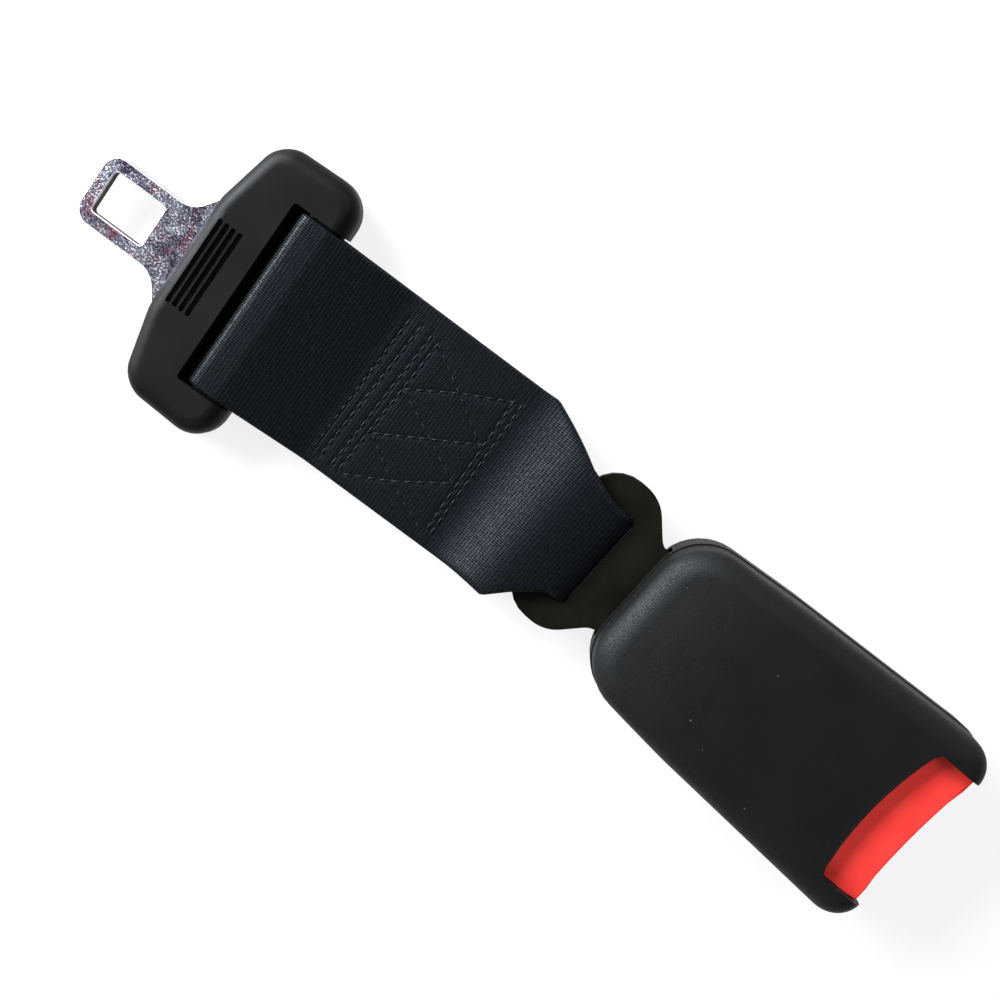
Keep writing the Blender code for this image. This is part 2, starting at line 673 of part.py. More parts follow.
def make_frame():
    """The steel channel: a deck that the anchor plate is riveted to, and two walls that hold the latch's pin."""
    outside = FRAME_INSIDE / 2 + FRAME_THICK
    tail = PLATE_NECK_WIDTH / 2 - GAP
    deck = [
        (FRAME_START, tail, FRAME_THICK),
        (FRAME_WALL_START - FRAME_THICK, tail, 0),
        (FRAME_WALL_START, outside, 0),
        (FRAME_END, outside, 0),
    ]
    frame = prism("buckle_frame", rounded(both_sides(deck), steps=3), FRAME_LIFT, FRAME_DECK)
    side_view = [
        (FRAME_WALL_START, FRAME_LIFT, 0),
        (FRAME_END, FRAME_LIFT, 0),
        (FRAME_END, FRAME_NOSE_TOP, 0),
        (BUCKLE_END - FRAME_SLOPE_FRONT, FRAME_LOW_TOP, 0),
        (BUCKLE_END - FRAME_HIGH_FRONT, FRAME_LOW_TOP, 0),
        (BUCKLE_END - FRAME_HIGH_FRONT, FRAME_TOP, FRAME_THICK / 2),
        (FRAME_WALL_START + 3 * FRAME_THICK, FRAME_TOP, FRAME_THICK),
        (FRAME_WALL_START, PLATE_TOP, FRAME_THICK / 2),
    ]
    for name, low in (("frame_wall_left", FRAME_INSIDE / 2), ("frame_wall_right", -outside)):
        join(frame, prism(name, rounded(side_view, steps=3), -low - FRAME_THICK, -low, side=True))

    window = NOSE_WIDTH / 2 + LOOSE
    cut(frame, block("nose_window", NOSE_BACK - 2 * LOOSE, NOSE_BACK + NOSE_LENGTH + LOOSE,
                     -window, window, 0, FRAME_DECK + OVERSHOOT))
    across = outside + OVERSHOOT
    room = LOCK_BAR_RADIUS + GAP
    cut(frame, block("lock_bar_slots", LOCK_BAR_X - BUTTON_TRAVEL - room - GAP, LOCK_BAR_X + room,
                     -across, across, LOCK_BAR_HEIGHT - room, LOCK_BAR_HEIGHT + room))
    pin = (PIVOT_X, LATCH_PIVOT_HEIGHT)
    cut(frame, rod("pin_holes", (pin[0], -across, pin[1]), (pin[0], across, pin[1]), LATCH_PIN_RADIUS + GAP))
    for name, y in (("rivet_hole_left", RIVET_APART / 2), ("rivet_hole_right", -RIVET_APART / 2)):
        cut(frame, rod(name, (RIVET_X, y, 0), (RIVET_X, y, PLATE_TOP), RIVET_RADIUS + GAP, 20))
    paint(frame, "zinc_steel")
    return frame


def make_latch():
    """The latch seen from the side: a knuckle on the pin, an arm with a heel, and a nose that hangs down."""
    reach = NOSE_BACK + NOSE_LENGTH
    heel = PIVOT_X + LATCH_HEEL
    heel_bottom = EJECTOR_RAMP_TOP + LATCH_HEEL_GAP
    side_view = [
        (PIVOT_X, LATCH_ARM_BOTTOM, 0),
        (heel - LATCH_HEEL_LENGTH / 2, LATCH_ARM_BOTTOM, 0),
        (heel - LATCH_HEEL_LENGTH / 2, heel_bottom, 0),
        (heel + LATCH_HEEL_LENGTH / 4, heel_bottom, 0),
        (heel + LATCH_HEEL_LENGTH / 2, LATCH_ARM_BOTTOM, 0),
        (NOSE_BACK, LATCH_ARM_BOTTOM, 0),
        (NOSE_BACK, NOSE_BOTTOM, 0),
        (reach - NOSE_LENGTH / 3, NOSE_BOTTOM, 0),
        (reach, NOSE_BOTTOM + NOSE_LENGTH / 2, 0),
        (reach, LATCH_ARM_TOP, NOSE_LENGTH / 3),
        (PIVOT_X, LATCH_ARM_TOP, 0),
    ]
    half = LATCH_WIDTH / 2
    latch = prism("latch", rounded(side_view, steps=3), -half, half, side=True)
    knuckle_half = FRAME_INSIDE / 2 - 2 * GAP
    join(latch, rod("latch_knuckle", (PIVOT_X, -knuckle_half, LATCH_PIVOT_HEIGHT),
                    (PIVOT_X, knuckle_half, LATCH_PIVOT_HEIGHT), LATCH_KNUCKLE_RADIUS))
    cut(latch, rod("latch_bore", (PIVOT_X, -half - LATCH_WIDTH, LATCH_PIVOT_HEIGHT),
                   (PIVOT_X, half + LATCH_WIDTH, LATCH_PIVOT_HEIGHT), LATCH_PIN_RADIUS + GAP))
    nose = NOSE_WIDTH / 2
    for name, y in (("nose_side_left", nose), ("nose_side_right", -nose - LATCH_WIDTH)):
        cut(latch, block(name, NOSE_BACK - NOSE_LENGTH, reach + OVERSHOOT, y, y + LATCH_WIDTH,
                         0, BUCKLE_HEIGHT))
    paint(latch, "zinc_steel")
    return latch


def make_latch_pin():
    half = FRAME_INSIDE / 2 + FRAME_THICK + LATCH_PIN_RADIUS / 2
    pin = rod("latch_pin", (PIVOT_X, -half, LATCH_PIVOT_HEIGHT), (PIVOT_X, half, LATCH_PIVOT_HEIGHT), LATCH_PIN_RADIUS)
    paint(pin, "spring_steel")
    return pin


def make_ejector():
    """A flat slider, forked round the latch's nose, with a ramp that the latch's heel rests on."""
    half = FRAME_INSIDE / 2 - EJECTOR_SIDE_GAP
    bottom = FRAME_DECK + GAP
    top = bottom + EJECTOR_THICK
    outline = [(EJECTOR_BACK, half, EJECTOR_THICK / 2), (EJECTOR_FRONT, half, EJECTOR_THICK / 2)]
    ejector = prism("ejector", rounded(both_sides(outline), steps=3), bottom, top)
    heel = PIVOT_X + LATCH_HEEL
    ramp = [
        (heel - EJECTOR_RAMP_FLAT, bottom + EJECTOR_THICK / 2, 0),
        (heel + EJECTOR_RAMP_LENGTH, bottom + EJECTOR_THICK / 2, 0),
        (heel + EJECTOR_RAMP_LENGTH, top, 0),
        (heel + LATCH_HEEL_LENGTH / 4, EJECTOR_RAMP_TOP, 0),
        (heel - EJECTOR_RAMP_FLAT, EJECTOR_RAMP_TOP, EJECTOR_THICK / 4),
    ]
    ramp_half = LATCH_WIDTH / 2 - LOOSE
    join(ejector, prism("ejector_ramp", rounded(ramp, steps=3), -ramp_half, ramp_half, side=True))
    fork = NOSE_WIDTH / 2 + LOOSE
    fork_back = NOSE_BACK - LOOSE
    around = rounded(box_corners(fork_back, EJECTOR_FRONT + fork, -fork, fork, LOOSE), steps=3)
    cut(ejector, prism("ejector_fork", around, 0, BUCKLE_HEIGHT))
    paint(ejector, "grey_plastic")
    return ejector


def bowed(x, bow, half, back, steps=10):
    """An outline that fills from a bowed edge at x to back. The edge's middle lies bow beyond its ends, along X."""
    radius = (half * half + bow * bow) / (2 * abs(bow))
    spread = math.degrees(math.asin(half / radius))
    if bow < 0:
        edge = arc(x + bow + radius, 0, radius, radius, 180 + spread, 180 - spread, steps)
    else:
        edge = arc(x + bow - radius, 0, radius, radius, -spread, spread, steps)
    return edge + [Vector((back, half)), Vector((back, -half))]


def make_button():
    """The red button: a cap that slopes down to a scooped front, open below and behind, with two arms."""
    half = BUTTON_WIDTH / 2
    slope_start = BUCKLE_END - BUTTON_SLOPE_BACK
    low = BUTTON_TOP - BUTTON_ARM_HEIGHT
    side_view = [
        (BUTTON_ARM_START, low, 0),
        (BUTTON_START, low, 0),
        (BUTTON_START, BUTTON_BOTTOM, 0),
        (BUTTON_END, BUTTON_BOTTOM, 0),
        (BUTTON_END, BUTTON_LIP, BUTTON_WALL / 2),
        (slope_start, BUTTON_TOP, BUTTON_WALL),
        (BUTTON_ARM_START, BUTTON_TOP, 0),
    ]
    button = prism("release_button", rounded(side_view, steps=3), -half, half, side=True)
    inside = BUTTON_END - BUTTON_FRONT_WALL
    fall = (BUTTON_TOP - BUTTON_LIP) / (BUTTON_END - slope_start)
    under = BUTTON_TOP - BUTTON_WALL
    hollow = [
        (BUTTON_ARM_START - OVERSHOOT, BUTTON_BOTTOM - OVERSHOOT, 0),
        (inside, BUTTON_BOTTOM - OVERSHOOT, 0),
        (inside, under - fall * (inside - slope_start), BUTTON_WALL / 2),
        (slope_start, under, 0),
        (BUTTON_START, under, 0),
        (BUTTON_START, BUTTON_TOP + OVERSHOOT, 0),
        (BUTTON_ARM_START - OVERSHOOT, BUTTON_TOP + OVERSHOOT, 0),
    ]
    room = half - BUTTON_WALL
    cut(button, prism("button_hollow", rounded(hollow, steps=3), -room, room, side=True))
    scoop = bowed(BUTTON_END, -BUTTON_SCOOP, half + GAP, BUTTON_END + OVERSHOOT)
    cut(button, prism("button_scoop", scoop, 0, BUCKLE_HEIGHT))
    cut(button, rod("lock_bar_holes", (LOCK_BAR_X, -half - OVERSHOOT, LOCK_BAR_HEIGHT),
                    (LOCK_BAR_X, half + OVERSHOOT, LOCK_BAR_HEIGHT), LOCK_BAR_RADIUS + GAP))
    paint(button, "red_plastic")
    return button


def make_lock_bar():
    half = BUTTON_WIDTH / 2 - GAP
    bar = rod("lock_bar", (LOCK_BAR_X, -half, LOCK_BAR_HEIGHT), (LOCK_BAR_X, half, LOCK_BAR_HEIGHT), LOCK_BAR_RADIUS)
    paint(bar, "spring_steel")
    return bar


def buckle_outline():
    corners = [
        (BUCKLE_START, BUTTON_WIDTH / 2 + BUCKLE_SIDE_BACK, BUCKLE_ROUND_BACK),
        (BUCKLE_START + BUCKLE_WAIST, BUTTON_WIDTH / 2 + BUCKLE_SIDE_WAIST, BUCKLE_ROUND_WAIST),
        (BUCKLE_END, BUTTON_WIDTH / 2 + BUCKLE_SIDE_FRONT, BUCKLE_ROUND_FRONT),
    ]
    return rounded(both_sides(corners), steps=9)


def lean(item):
    """Leans the side walls inwards above the parting line."""
    for vertex in item.data.vertices:
        vertex.co.y *= 1 - BUCKLE_LEAN * (vertex.co.z - PARTING_HEIGHT) / (BUCKLE_HEIGHT - PARTING_HEIGHT)


def make_tongue_guide():
    """The mouth of the buckle: a flared plastic tunnel that sits in the lower cover's end."""
    side = MOUTH_WIDTH / 2
    back = BUCKLE_END - GUIDE_LENGTH
    front = BUCKLE_END - GAP
    guide = block("tongue_guide", back, front, -side - GUIDE_WALL, side + GUIDE_WALL, FRAME_LIFT, GUIDE_TOP)
    cut(guide, block("mouth", back - OVERSHOOT, front + OVERSHOOT, -side, side, FRAME_DECK, CHANNEL_TOP))
    flare = [
        (front - 2 * MOUTH_FLARE, FRAME_DECK - GAP / 3, 0),
        (front + GAP, FRAME_DECK - MOUTH_FLARE, 0),
        (front + GAP, CHANNEL_TOP + MOUTH_FLARE / 2, 0),
        (front - 2 * MOUTH_FLARE, CHANNEL_TOP + GAP / 3, 0),
    ]
    cut(guide, prism("mouth_flare", rounded(flare), -side, side, side=True))
    paint(guide, "black_plastic")
    return guide


def make_lower_cover():
    outline = buckle_outline()
    cover = prism("lower_cover", outline, 0, PARTING_HEIGHT)
    round_rim(cover, 0, BUCKLE_BOTTOM_ROUND)
    hollow = prism("lower_hollow", grown(outline, -SHELL_WALL - LEDGE), SHELL_WALL, PARTING_HEIGHT + OVERSHOOT)
    cut(cover, hollow)

    neck = PLATE_NECK_WIDTH / 2 + LOOSE
    reach = BUCKLE_START + SHELL_WALL + 2 * LEDGE
    cut(cover, block("plate_slot", BUCKLE_START - OVERSHOOT, reach + OVERSHOOT, -neck, neck,
                     PLATE_BOTTOM - 2 * GAP, PLATE_TOP + 2 * GAP))
    side = MOUTH_WIDTH / 2 + GUIDE_WALL + GAP
    cut(cover, block("guide_notch", BUCKLE_END - 2 * SHELL_WALL - LEDGE, BUCKLE_END + OVERSHOOT, -side, side,
                     FRAME_LIFT - GAP, PARTING_HEIGHT + OVERSHOOT))

    rib = FRAME_INSIDE / 2 + FRAME_THICK
    low = SHELL_WALL - GAP
    for name, x in (("rib_back", FRAME_WALL_START + SHELL_WALL), ("rib_front", FRAME_END - 2 * SHELL_WALL)):
        join(cover, block(name, x, x + SHELL_WALL, -rib, rib, low, FRAME_LIFT - GAP))
    seat_end = BUTTON_ARM_START - GAP - BUTTON_SPRING_LENGTH - GAP
    arm = BUTTON_WIDTH / 2 - BUTTON_WALL / 2
    for name, y in (("spring_seat_left", arm), ("spring_seat_right", -arm)):
        join(cover, block(name, seat_end - SEAT_LENGTH, seat_end, y - BUTTON_SPRING_RADIUS,
                          y + BUTTON_SPRING_RADIUS, low, BUTTON_SPRING_HEIGHT + BUTTON_SPRING_RADIUS))
    paint(cover, "black_plastic")
    return cover


def make_upper_cover():
    outline = grown(buckle_outline(), -LEDGE)
    low = PARTING_HEIGHT + GAP
    cover = prism("upper_cover", outline, low, BUCKLE_HEIGHT)
    round_rim(cover, BUCKLE_HEIGHT, BUCKLE_TOP_ROUND, steps=5)
    lean(cover)
    ceiling = BUCKLE_HEIGHT - SHELL_WALL
    hollow = prism("upper_hollow", grown(outline, -SHELL_WALL), low - OVERSHOOT, ceiling)
    round_rim(hollow, ceiling, BUCKLE_TOP_ROUND - SHELL_WALL, steps=3)
    lean(hollow)
    cut(cover, hollow)

    side = BUTTON_WIDTH / 2 + GAP
    edge = BUCKLE_END - CUTOUT_DEPTH
    for name, y in (("cheek_left", side), ("cheek_right", -side - CHEEK_WALL)):
        join(cover, block(name, edge - CHEEK_WALL, BUCKLE_END - 2 * SHELL_WALL, y, y + CHEEK_WALL, low, ceiling + GAP))
    opening = bowed(edge, -CUTOUT_BOW, side, BUCKLE_END + OVERSHOOT)
    cut(cover, prism("button_opening", opening, low - OVERSHOOT, BUCKLE_HEIGHT + OVERSHOOT))

    peg_x = PIVOT_X + LATCH_SPRING_BACK
    join(cover, rod("spring_peg", (peg_x, 0, ceiling - PEG_LENGTH), (peg_x, 0, ceiling + GAP), PEG_RADIUS, 16))
    paint(cover, "black_plastic")
    return cover


def make_springs():
    ceiling = BUCKLE_HEIGHT - SHELL_WALL
    spring_x = PIVOT_X + LATCH_SPRING_BACK
    latch = coil("latch_spring", (spring_x, 0, LATCH_ARM_TOP + GAP), (spring_x, 0, ceiling - GAP),
                 LATCH_SPRING_RADIUS, LATCH_SPRING_TURNS)
    middle = FRAME_DECK + GAP + EJECTOR_THICK / 2
    ejector = coil("ejector_spring", (PLATE_END + GAP, 0, middle), (EJECTOR_BACK - GAP, 0, middle),
                   EJECTOR_SPRING_RADIUS, EJECTOR_SPRING_TURNS)
    arm = BUTTON_WIDTH / 2 - BUTTON_WALL / 2
    end = BUTTON_ARM_START - GAP
    pair = [
        coil(name, (end - BUTTON_SPRING_LENGTH, y, BUTTON_SPRING_HEIGHT), (end, y, BUTTON_SPRING_HEIGHT),
             BUTTON_SPRING_RADIUS, BUTTON_SPRING_TURNS)
        for name, y in (("button_spring_left", arm), ("button_spring_right", -arm))
    ]
    springs = [latch, ejector, *pair]
    for spring in springs:
        paint(spring, "spring_steel")
    return springs


def build():
    start_empty()
    belt = axis("belt", (0, 0, 0))
    tongue_swing = axis("tongue_swing", (BAR_AXIS, 0, COVER_MIDDLE), belt)
    buckle_swing = axis("buckle_swing", (LOOP_AXIS, 0, PLATE_MIDDLE), belt)
    latch_hinge = axis("latch_hinge", (PIVOT_X, 0, LATCH_PIVOT_HEIGHT), buckle_swing)
    ejector_slide = axis("ejector_slide", (EJECTOR_BACK, 0, FRAME_DECK), buckle_swing)
    button_slide = axis("button_slide", (BUTTON_START, 0, BUTTON_TOP), buckle_swing)

    carry(belt, make_webbing())
    carry(tongue_swing, make_tongue_plate(), make_tongue_cover())
    carry(latch_hinge, make_latch())
    carry(ejector_slide, make_ejector())
    carry(button_slide, make_button(), make_lock_bar())
    rivets = [
        make_rivet(name, y)
        for name, y in (("anchor_rivet_left", RIVET_APART / 2), ("anchor_rivet_right", -RIVET_APART / 2))
    ]
    carry(buckle_swing, make_anchor_plate(), make_frame(), *rivets, make_latch_pin(), *make_springs())
    carry(buckle_swing, make_tongue_guide(), make_lower_cover(), make_upper_cover())

    belt.location.x = -MIDDLE
    buckle_swing.rotation_euler.z = BUCKLE_TURN
    for item in bpy.data.collections["seat_belt_extender"].objects:
        smooth(item)


build()
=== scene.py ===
"""Seat belt extender: its tongue, webbing and buckle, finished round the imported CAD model."""

import json
import math

import bmesh
import bpy
from mathutils import Matrix, Vector


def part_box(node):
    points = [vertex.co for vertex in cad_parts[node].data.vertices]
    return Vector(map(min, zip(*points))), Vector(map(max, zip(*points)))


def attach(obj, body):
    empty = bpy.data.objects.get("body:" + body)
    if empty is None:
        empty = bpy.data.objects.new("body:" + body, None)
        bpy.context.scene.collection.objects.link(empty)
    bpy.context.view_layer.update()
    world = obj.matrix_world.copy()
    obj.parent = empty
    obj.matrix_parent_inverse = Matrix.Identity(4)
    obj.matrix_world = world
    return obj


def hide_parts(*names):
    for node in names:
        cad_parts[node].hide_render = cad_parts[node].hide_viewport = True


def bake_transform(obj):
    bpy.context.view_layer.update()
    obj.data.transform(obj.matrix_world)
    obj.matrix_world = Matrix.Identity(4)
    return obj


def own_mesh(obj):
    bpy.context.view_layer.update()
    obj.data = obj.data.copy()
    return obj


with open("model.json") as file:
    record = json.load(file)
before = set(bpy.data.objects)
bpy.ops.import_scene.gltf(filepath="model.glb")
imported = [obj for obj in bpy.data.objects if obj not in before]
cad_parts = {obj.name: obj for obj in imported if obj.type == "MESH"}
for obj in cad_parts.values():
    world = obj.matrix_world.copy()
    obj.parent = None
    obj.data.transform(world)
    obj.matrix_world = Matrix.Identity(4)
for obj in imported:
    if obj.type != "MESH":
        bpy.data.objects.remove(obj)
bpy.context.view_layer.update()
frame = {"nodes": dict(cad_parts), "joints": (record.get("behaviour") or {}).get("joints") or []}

# Sizes and places are in metres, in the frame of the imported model. SHARP is a rim's least turn, in radians
MM = 0.001
NEAR = 0.01 * MM
SHARP = 1.0
FIT = 0.3 * MM
JOINTS = {joint["name"]: joint for joint in frame["joints"]}
BAR = Vector(JOINTS["tongue_swing"]["pos_m"])
LOOP = Vector(JOINTS["buckle_swing"]["pos_m"])
ALONG = Vector(JOINTS["button_slide"]["axis"])
TURN = math.atan2(ALONG.y, ALONG.x)
STEEL_LOW, STEEL_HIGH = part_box("tongue_plate")
GRIP_LOW, GRIP_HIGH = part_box("tongue_cover")
BELT_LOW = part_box("webbing")[0]
PLATE_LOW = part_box("anchor_plate")[0]
LID_LOW, LID_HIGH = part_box("upper_cover")
BUTTON_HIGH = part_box("release_button")[1]

# Tongue
TIP = STEEL_LOW.x
SHANK_HALF = 8.9 * MM
SHANK_END = TIP + 22.6 * MM
HOLE_START = TIP + 3.3 * MM
HOLE_END = HOLE_START + 14.2 * MM
HOLE_HALF = 5.45 * MM
GRIP_HALF = GRIP_HIGH.y + 0.1 * MM
GRIP_NOSE_HALF = 15.0 * MM
GRIP_SWEEP = 4.6 * MM
GRIP_ROUND = 4.2 * MM
SLOT_START = GRIP_LOW.x + 15.5 * MM
BAR_HALF = 3.3 * MM
BAR_START = BAR.x - BAR_HALF
BAR_END = BAR_START + 10.6 * MM
BLADE_INSET = 2.6 * MM
BLADE_MARGIN = 7.5 * MM
BLADE_EDGE = 0.42 * MM
SLOT_ROOM = 1.2 * MM
GRIP_UNDER_ROUND = 3.6 * MM
BELT_ROOM = 0.6 * MM
GROOVES = 4
GROOVE_STEP = 1.83 * MM
GROOVE_START = GRIP_LOW.x + 4.0 * MM
GROOVE_HALF = 0.62 * MM
GROOVE_REACH = 11.5 * MM
GROOVE_DEPTH = 1.0 * MM

# Webbing
THICK = 1.3 * MM
HALF = 24.0 * MM
BELT_FLOOR = BELT_LOW.z
BELT_TOP = BELT_FLOOR + 3 * THICK
SEWN_START = BAR_END + 21.1 * MM
SEWN_END = SEWN_START + 36.6 * MM
YARN = 0.56 * MM
WEFT = 0.94 * MM
JOIN_LAP = 1.0 * MM
END_LAP = 0.4 * MM
FOLD_THICK = 2.2 * MM
FOLD_EDGE = 1.9 * MM
PLATE_MIDDLE = LOOP.z
PLATE_EDGE = PLATE_LOW.x
SLOT_HALF = 13.4 * MM
SLOT_ROUND = 2.5 * MM
FOLDS_LEFT = [(PLATE_EDGE - 15.5 * MM, HALF), (PLATE_EDGE, 15.9 * MM), (PLATE_EDGE + 9.8 * MM, SLOT_HALF)]
FOLDS_RIGHT = [(PLATE_EDGE - 1.3 * MM, HALF), (PLATE_EDGE + 3.7 * MM, 18.5 * MM), FOLDS_LEFT[-1]]
CREST = PLATE_EDGE + 1.0 * MM
CREST_RISE = 4.2 * MM
SLOT_BACK = LOOP.x + 3.1 * MM
SLOT_FRONT = SLOT_BACK + 8.4 * MM

# Buckle, drawn straight along X and then turned on the webbing's loop
BUCKLE_START = LOOP.x + 21.4 * MM
BUCKLE_END = BUCKLE_START + 87.8 * MM
BUCKLE_BACK_HALF = 21.9 * MM
BUCKLE_WAIST = BUCKLE_START + 30.0 * MM
BUCKLE_WAIST_HALF = 24.6 * MM
BUCKLE_FRONT_HALF = 27.9 * MM
PARTING = LID_LOW.z
LEDGE = 0.3 * MM
WALL = 2.0 * MM
TOP_ROUND = 5.5 * MM
DOME_REACH = 30.0 * MM
DOME_DROP = 4.2 * MM
DOME_STEPS = 10
BUTTON_HALF = 19.6 * MM
CUTOUT = BUCKLE_END - 13.2 * MM
CUTOUT_BOW = 2.3 * MM
CUTOUT_LIP = 1.4 * MM
CHEEK = 1.5 * MM
CHEEK_END = BUCKLE_END - 4.0 * MM
HOLLOW_ROUND = 3.5 * MM
LID_TAPER = 0.02
BUTTON_STRIP = 4.6 * MM
BUTTON_RIM = 1.6 * MM

# Each spring that is pushed in, with the joint that does it and how far it goes
PUSHED_SPRINGS = {
    "button_spring_left": ("button_slide", 5.0 * MM),
    "button_spring_right": ("button_slide", 5.0 * MM),
    "ejector_spring": ("ejector_slide", 11.0 * MM),
}

# The photograph's camera
CAMERA_PLACE = Vector((-12.31, 35.26, 261.89)) * MM
CAMERA_RIGHT = Vector((0.80238, 0.59401, -0.05775))
CAMERA_UP = Vector((-0.59558, 0.79077, -0.14129))
CAMERA_LENS = 39.12

# Lamps by name, place, size, power in watts and colour. All of them face the middle of the part
ROOM_LEVEL = 0.08
LAMPS = [
    ("window", (-1.05, 0.18, 0.46), (0.9, 0.45), 60.0, (0.90, 0.95, 1.0)),
    ("far_wall", (0.20, -1.00, 0.90), (0.9, 0.6), 4.0, (1.0, 0.98, 0.96)),
    ("ceiling", (0.25, 0.95, 1.00), (1.0, 1.0), 9.0, (1.0, 0.97, 0.94)),
]


def only(piece):
    """Selects one piece and nothing else."""
    for item in bpy.context.selected_objects:
        item.select_set(False)
    piece.select_set(True)
    bpy.context.view_layer.objects.active = piece


def shape(piece, kind, chosen, *steps):
    """Selects the vertices, edges or faces that pass a test, and runs each step on them in edit mode."""
    only(piece)
    bpy.ops.object.mode_set(mode="EDIT")
    bpy.ops.mesh.select_mode(type=kind)
    bpy.ops.mesh.select_all(action="DESELECT")
    mesh = bmesh.from_edit_mesh(piece.data)
    parts = {"VERT": mesh.verts, "EDGE": mesh.edges, "FACE": mesh.faces}[kind]
    for part in [part for part in parts if chosen(part)]:
        part.select_set(True)
    bmesh.update_edit_mesh(piece.data)
    for step, settings in steps:
        step(**settings)
    bpy.ops.object.mode_set(mode="OBJECT")


def everything(part):
    return True


def slab(name, corners, bottom, top):
    """A plate over an outline whose corners are (x, y, radius)."""
    for item in bpy.context.selected_objects:
        item.select_set(False)
    bpy.ops.mesh.primitive_circle_add(vertices=len(corners), radius=MM, fill_type="NGON")
    piece = bpy.context.object
    piece.name = piece.data.name = name
    for vertex, (x, y, radius) in zip(piece.data.vertices, corners):
        vertex.co = (x, y, bottom)
    for k, (x, y, radius) in enumerate(corners):
        if radius:
            here = Vector((x, y))
            before = Vector(corners[k - 1][:2]) - here
            after = Vector(corners[(k + 1) % len(corners)][:2]) - here
            reach = radius / math.tan(before.angle(after) / 2)
            shape(piece, "VERT", lambda v: (v.co.xy - here).length < NEAR,
                  (bpy.ops.mesh.bevel, {"offset": reach, "segments": 10, "affect": "VERTICES"}))
    shape(piece, "FACE", everything,
          (bpy.ops.mesh.extrude_region_move, {"TRANSFORM_OT_translate": {"value": (0, 0, top - bottom)}}),
          (bpy.ops.mesh.select_all, {"action": "SELECT"}),
          (bpy.ops.mesh.normals_make_consistent, {"inside": False}))
    return piece


def both_sides(half):
    """A whole outline from the corners of its left half, which run along X."""
    return half + [(x, -y, radius) for x, y, radius in reversed(half)]


def oblong(x_low, x_high, half, radius=0.0):
    return both_sides([(x_low, half, radius), (x_high, half, radius)])


def round_rim(piece, height, radius, steps=8):
    """Rounds the rim of a slab at one height."""
    def on_rim(edge):
        return all(abs(v.co.z - height) < NEAR for v in edge.verts) and edge.calc_face_angle(0) > SHARP

    shape(piece, "EDGE", on_rim,
          (bpy.ops.mesh.bevel, {"offset": radius, "segments": steps, "affect": "EDGES"}))


def apply(piece, change):
    only(piece)
    bpy.ops.object.modifier_apply(modifier=change.name)


def carve(piece, tool, operation="DIFFERENCE"):
    """Cuts a tool out of a piece, or joins it on."""
    change = piece.modifiers.new(tool.name, "BOOLEAN")
    change.operation = operation
    change.object = tool
    apply(piece, change)
    bpy.data.objects.remove(tool)


def soften(piece, width, steps=3, angle=35, finish=-1):
    """Rounds the sharp edges that are left. The new faces take the material slot that finish numbers."""
    change = piece.modifiers.new("soft_edges", "BEVEL")
    change.material = finish
    change.width = width
    change.segments = steps
    change.limit_method = "ANGLE"
    change.angle_limit = math.radians(angle)
    apply(piece, change)


def from_node(name, node):
    """An editable copy of a CAD node, with its loose triangles merged into whole faces."""
    piece = bpy.data.objects.new(name, frame["nodes"][node].data.copy())
    bpy.context.scene.collection.objects.link(piece)
    shape(piece, "VERT", everything,
          (bpy.ops.mesh.remove_doubles, {"threshold": NEAR / 10}),
          (bpy.ops.mesh.dissolve_limited, {"angle_limit": math.radians(1)}))
    piece.data.materials.clear()
    return piece


def turn(piece):
    """Turns a piece of the buckle, drawn straight, on the webbing's loop."""
    middle = Matrix.Translation((LOOP.x, 0, 0))
    piece.matrix_world = middle @ Matrix.Rotation(TURN, 4, "Z") @ middle.inverted()
    only(piece)
    bpy.ops.object.transform_apply()


def settle(piece, body, finish, slot, *nodes, angle=35):
    """Gives a finished piece its smooth faces, material and body, and hides the CAD nodes that it stands for.
    """
    only(piece)
    bpy.ops.object.shade_smooth_by_angle(angle=math.radians(angle))
    even = piece.modifiers.new("even_light", "WEIGHTED_NORMAL")
    even.keep_sharp = True
    apply(piece, even)
    if finish:
        piece.data.materials.clear()
        piece.data.materials.append(finish)
    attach(piece, body)
    if nodes:
        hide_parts(*nodes)


def ease(share):
    """From 0 to 1, slow at both ends."""
    share = min(max(share, 0.0), 1.0)
    return share * share * (3 - 2 * share)


class Wire:
    """A node's output. Sums on it add the nodes that work them out."""

    def __init__(self, finish, socket):
        self.finish, self.socket = finish, socket

    def sum(self, operation, first, *others):
        return self.finish.node("ShaderNodeMath", {"operation": operation}, [first, *others])

    def __add__(self, other):
        return self.sum("ADD", self, other)

    def __sub__(self, other):
        return self.sum("SUBTRACT", self, other)

    def __rsub__(self, other):
        return self.sum("SUBTRACT", other, self)

    def __mul__(self, other):
        return self.sum("MULTIPLY", self, other)

    __radd__, __rmul__ = __add__, __mul__

    def sine(self):
        return self.sum("SINE", self)

    def top(self, other):
        return self.sum("MAXIMUM", self, other)


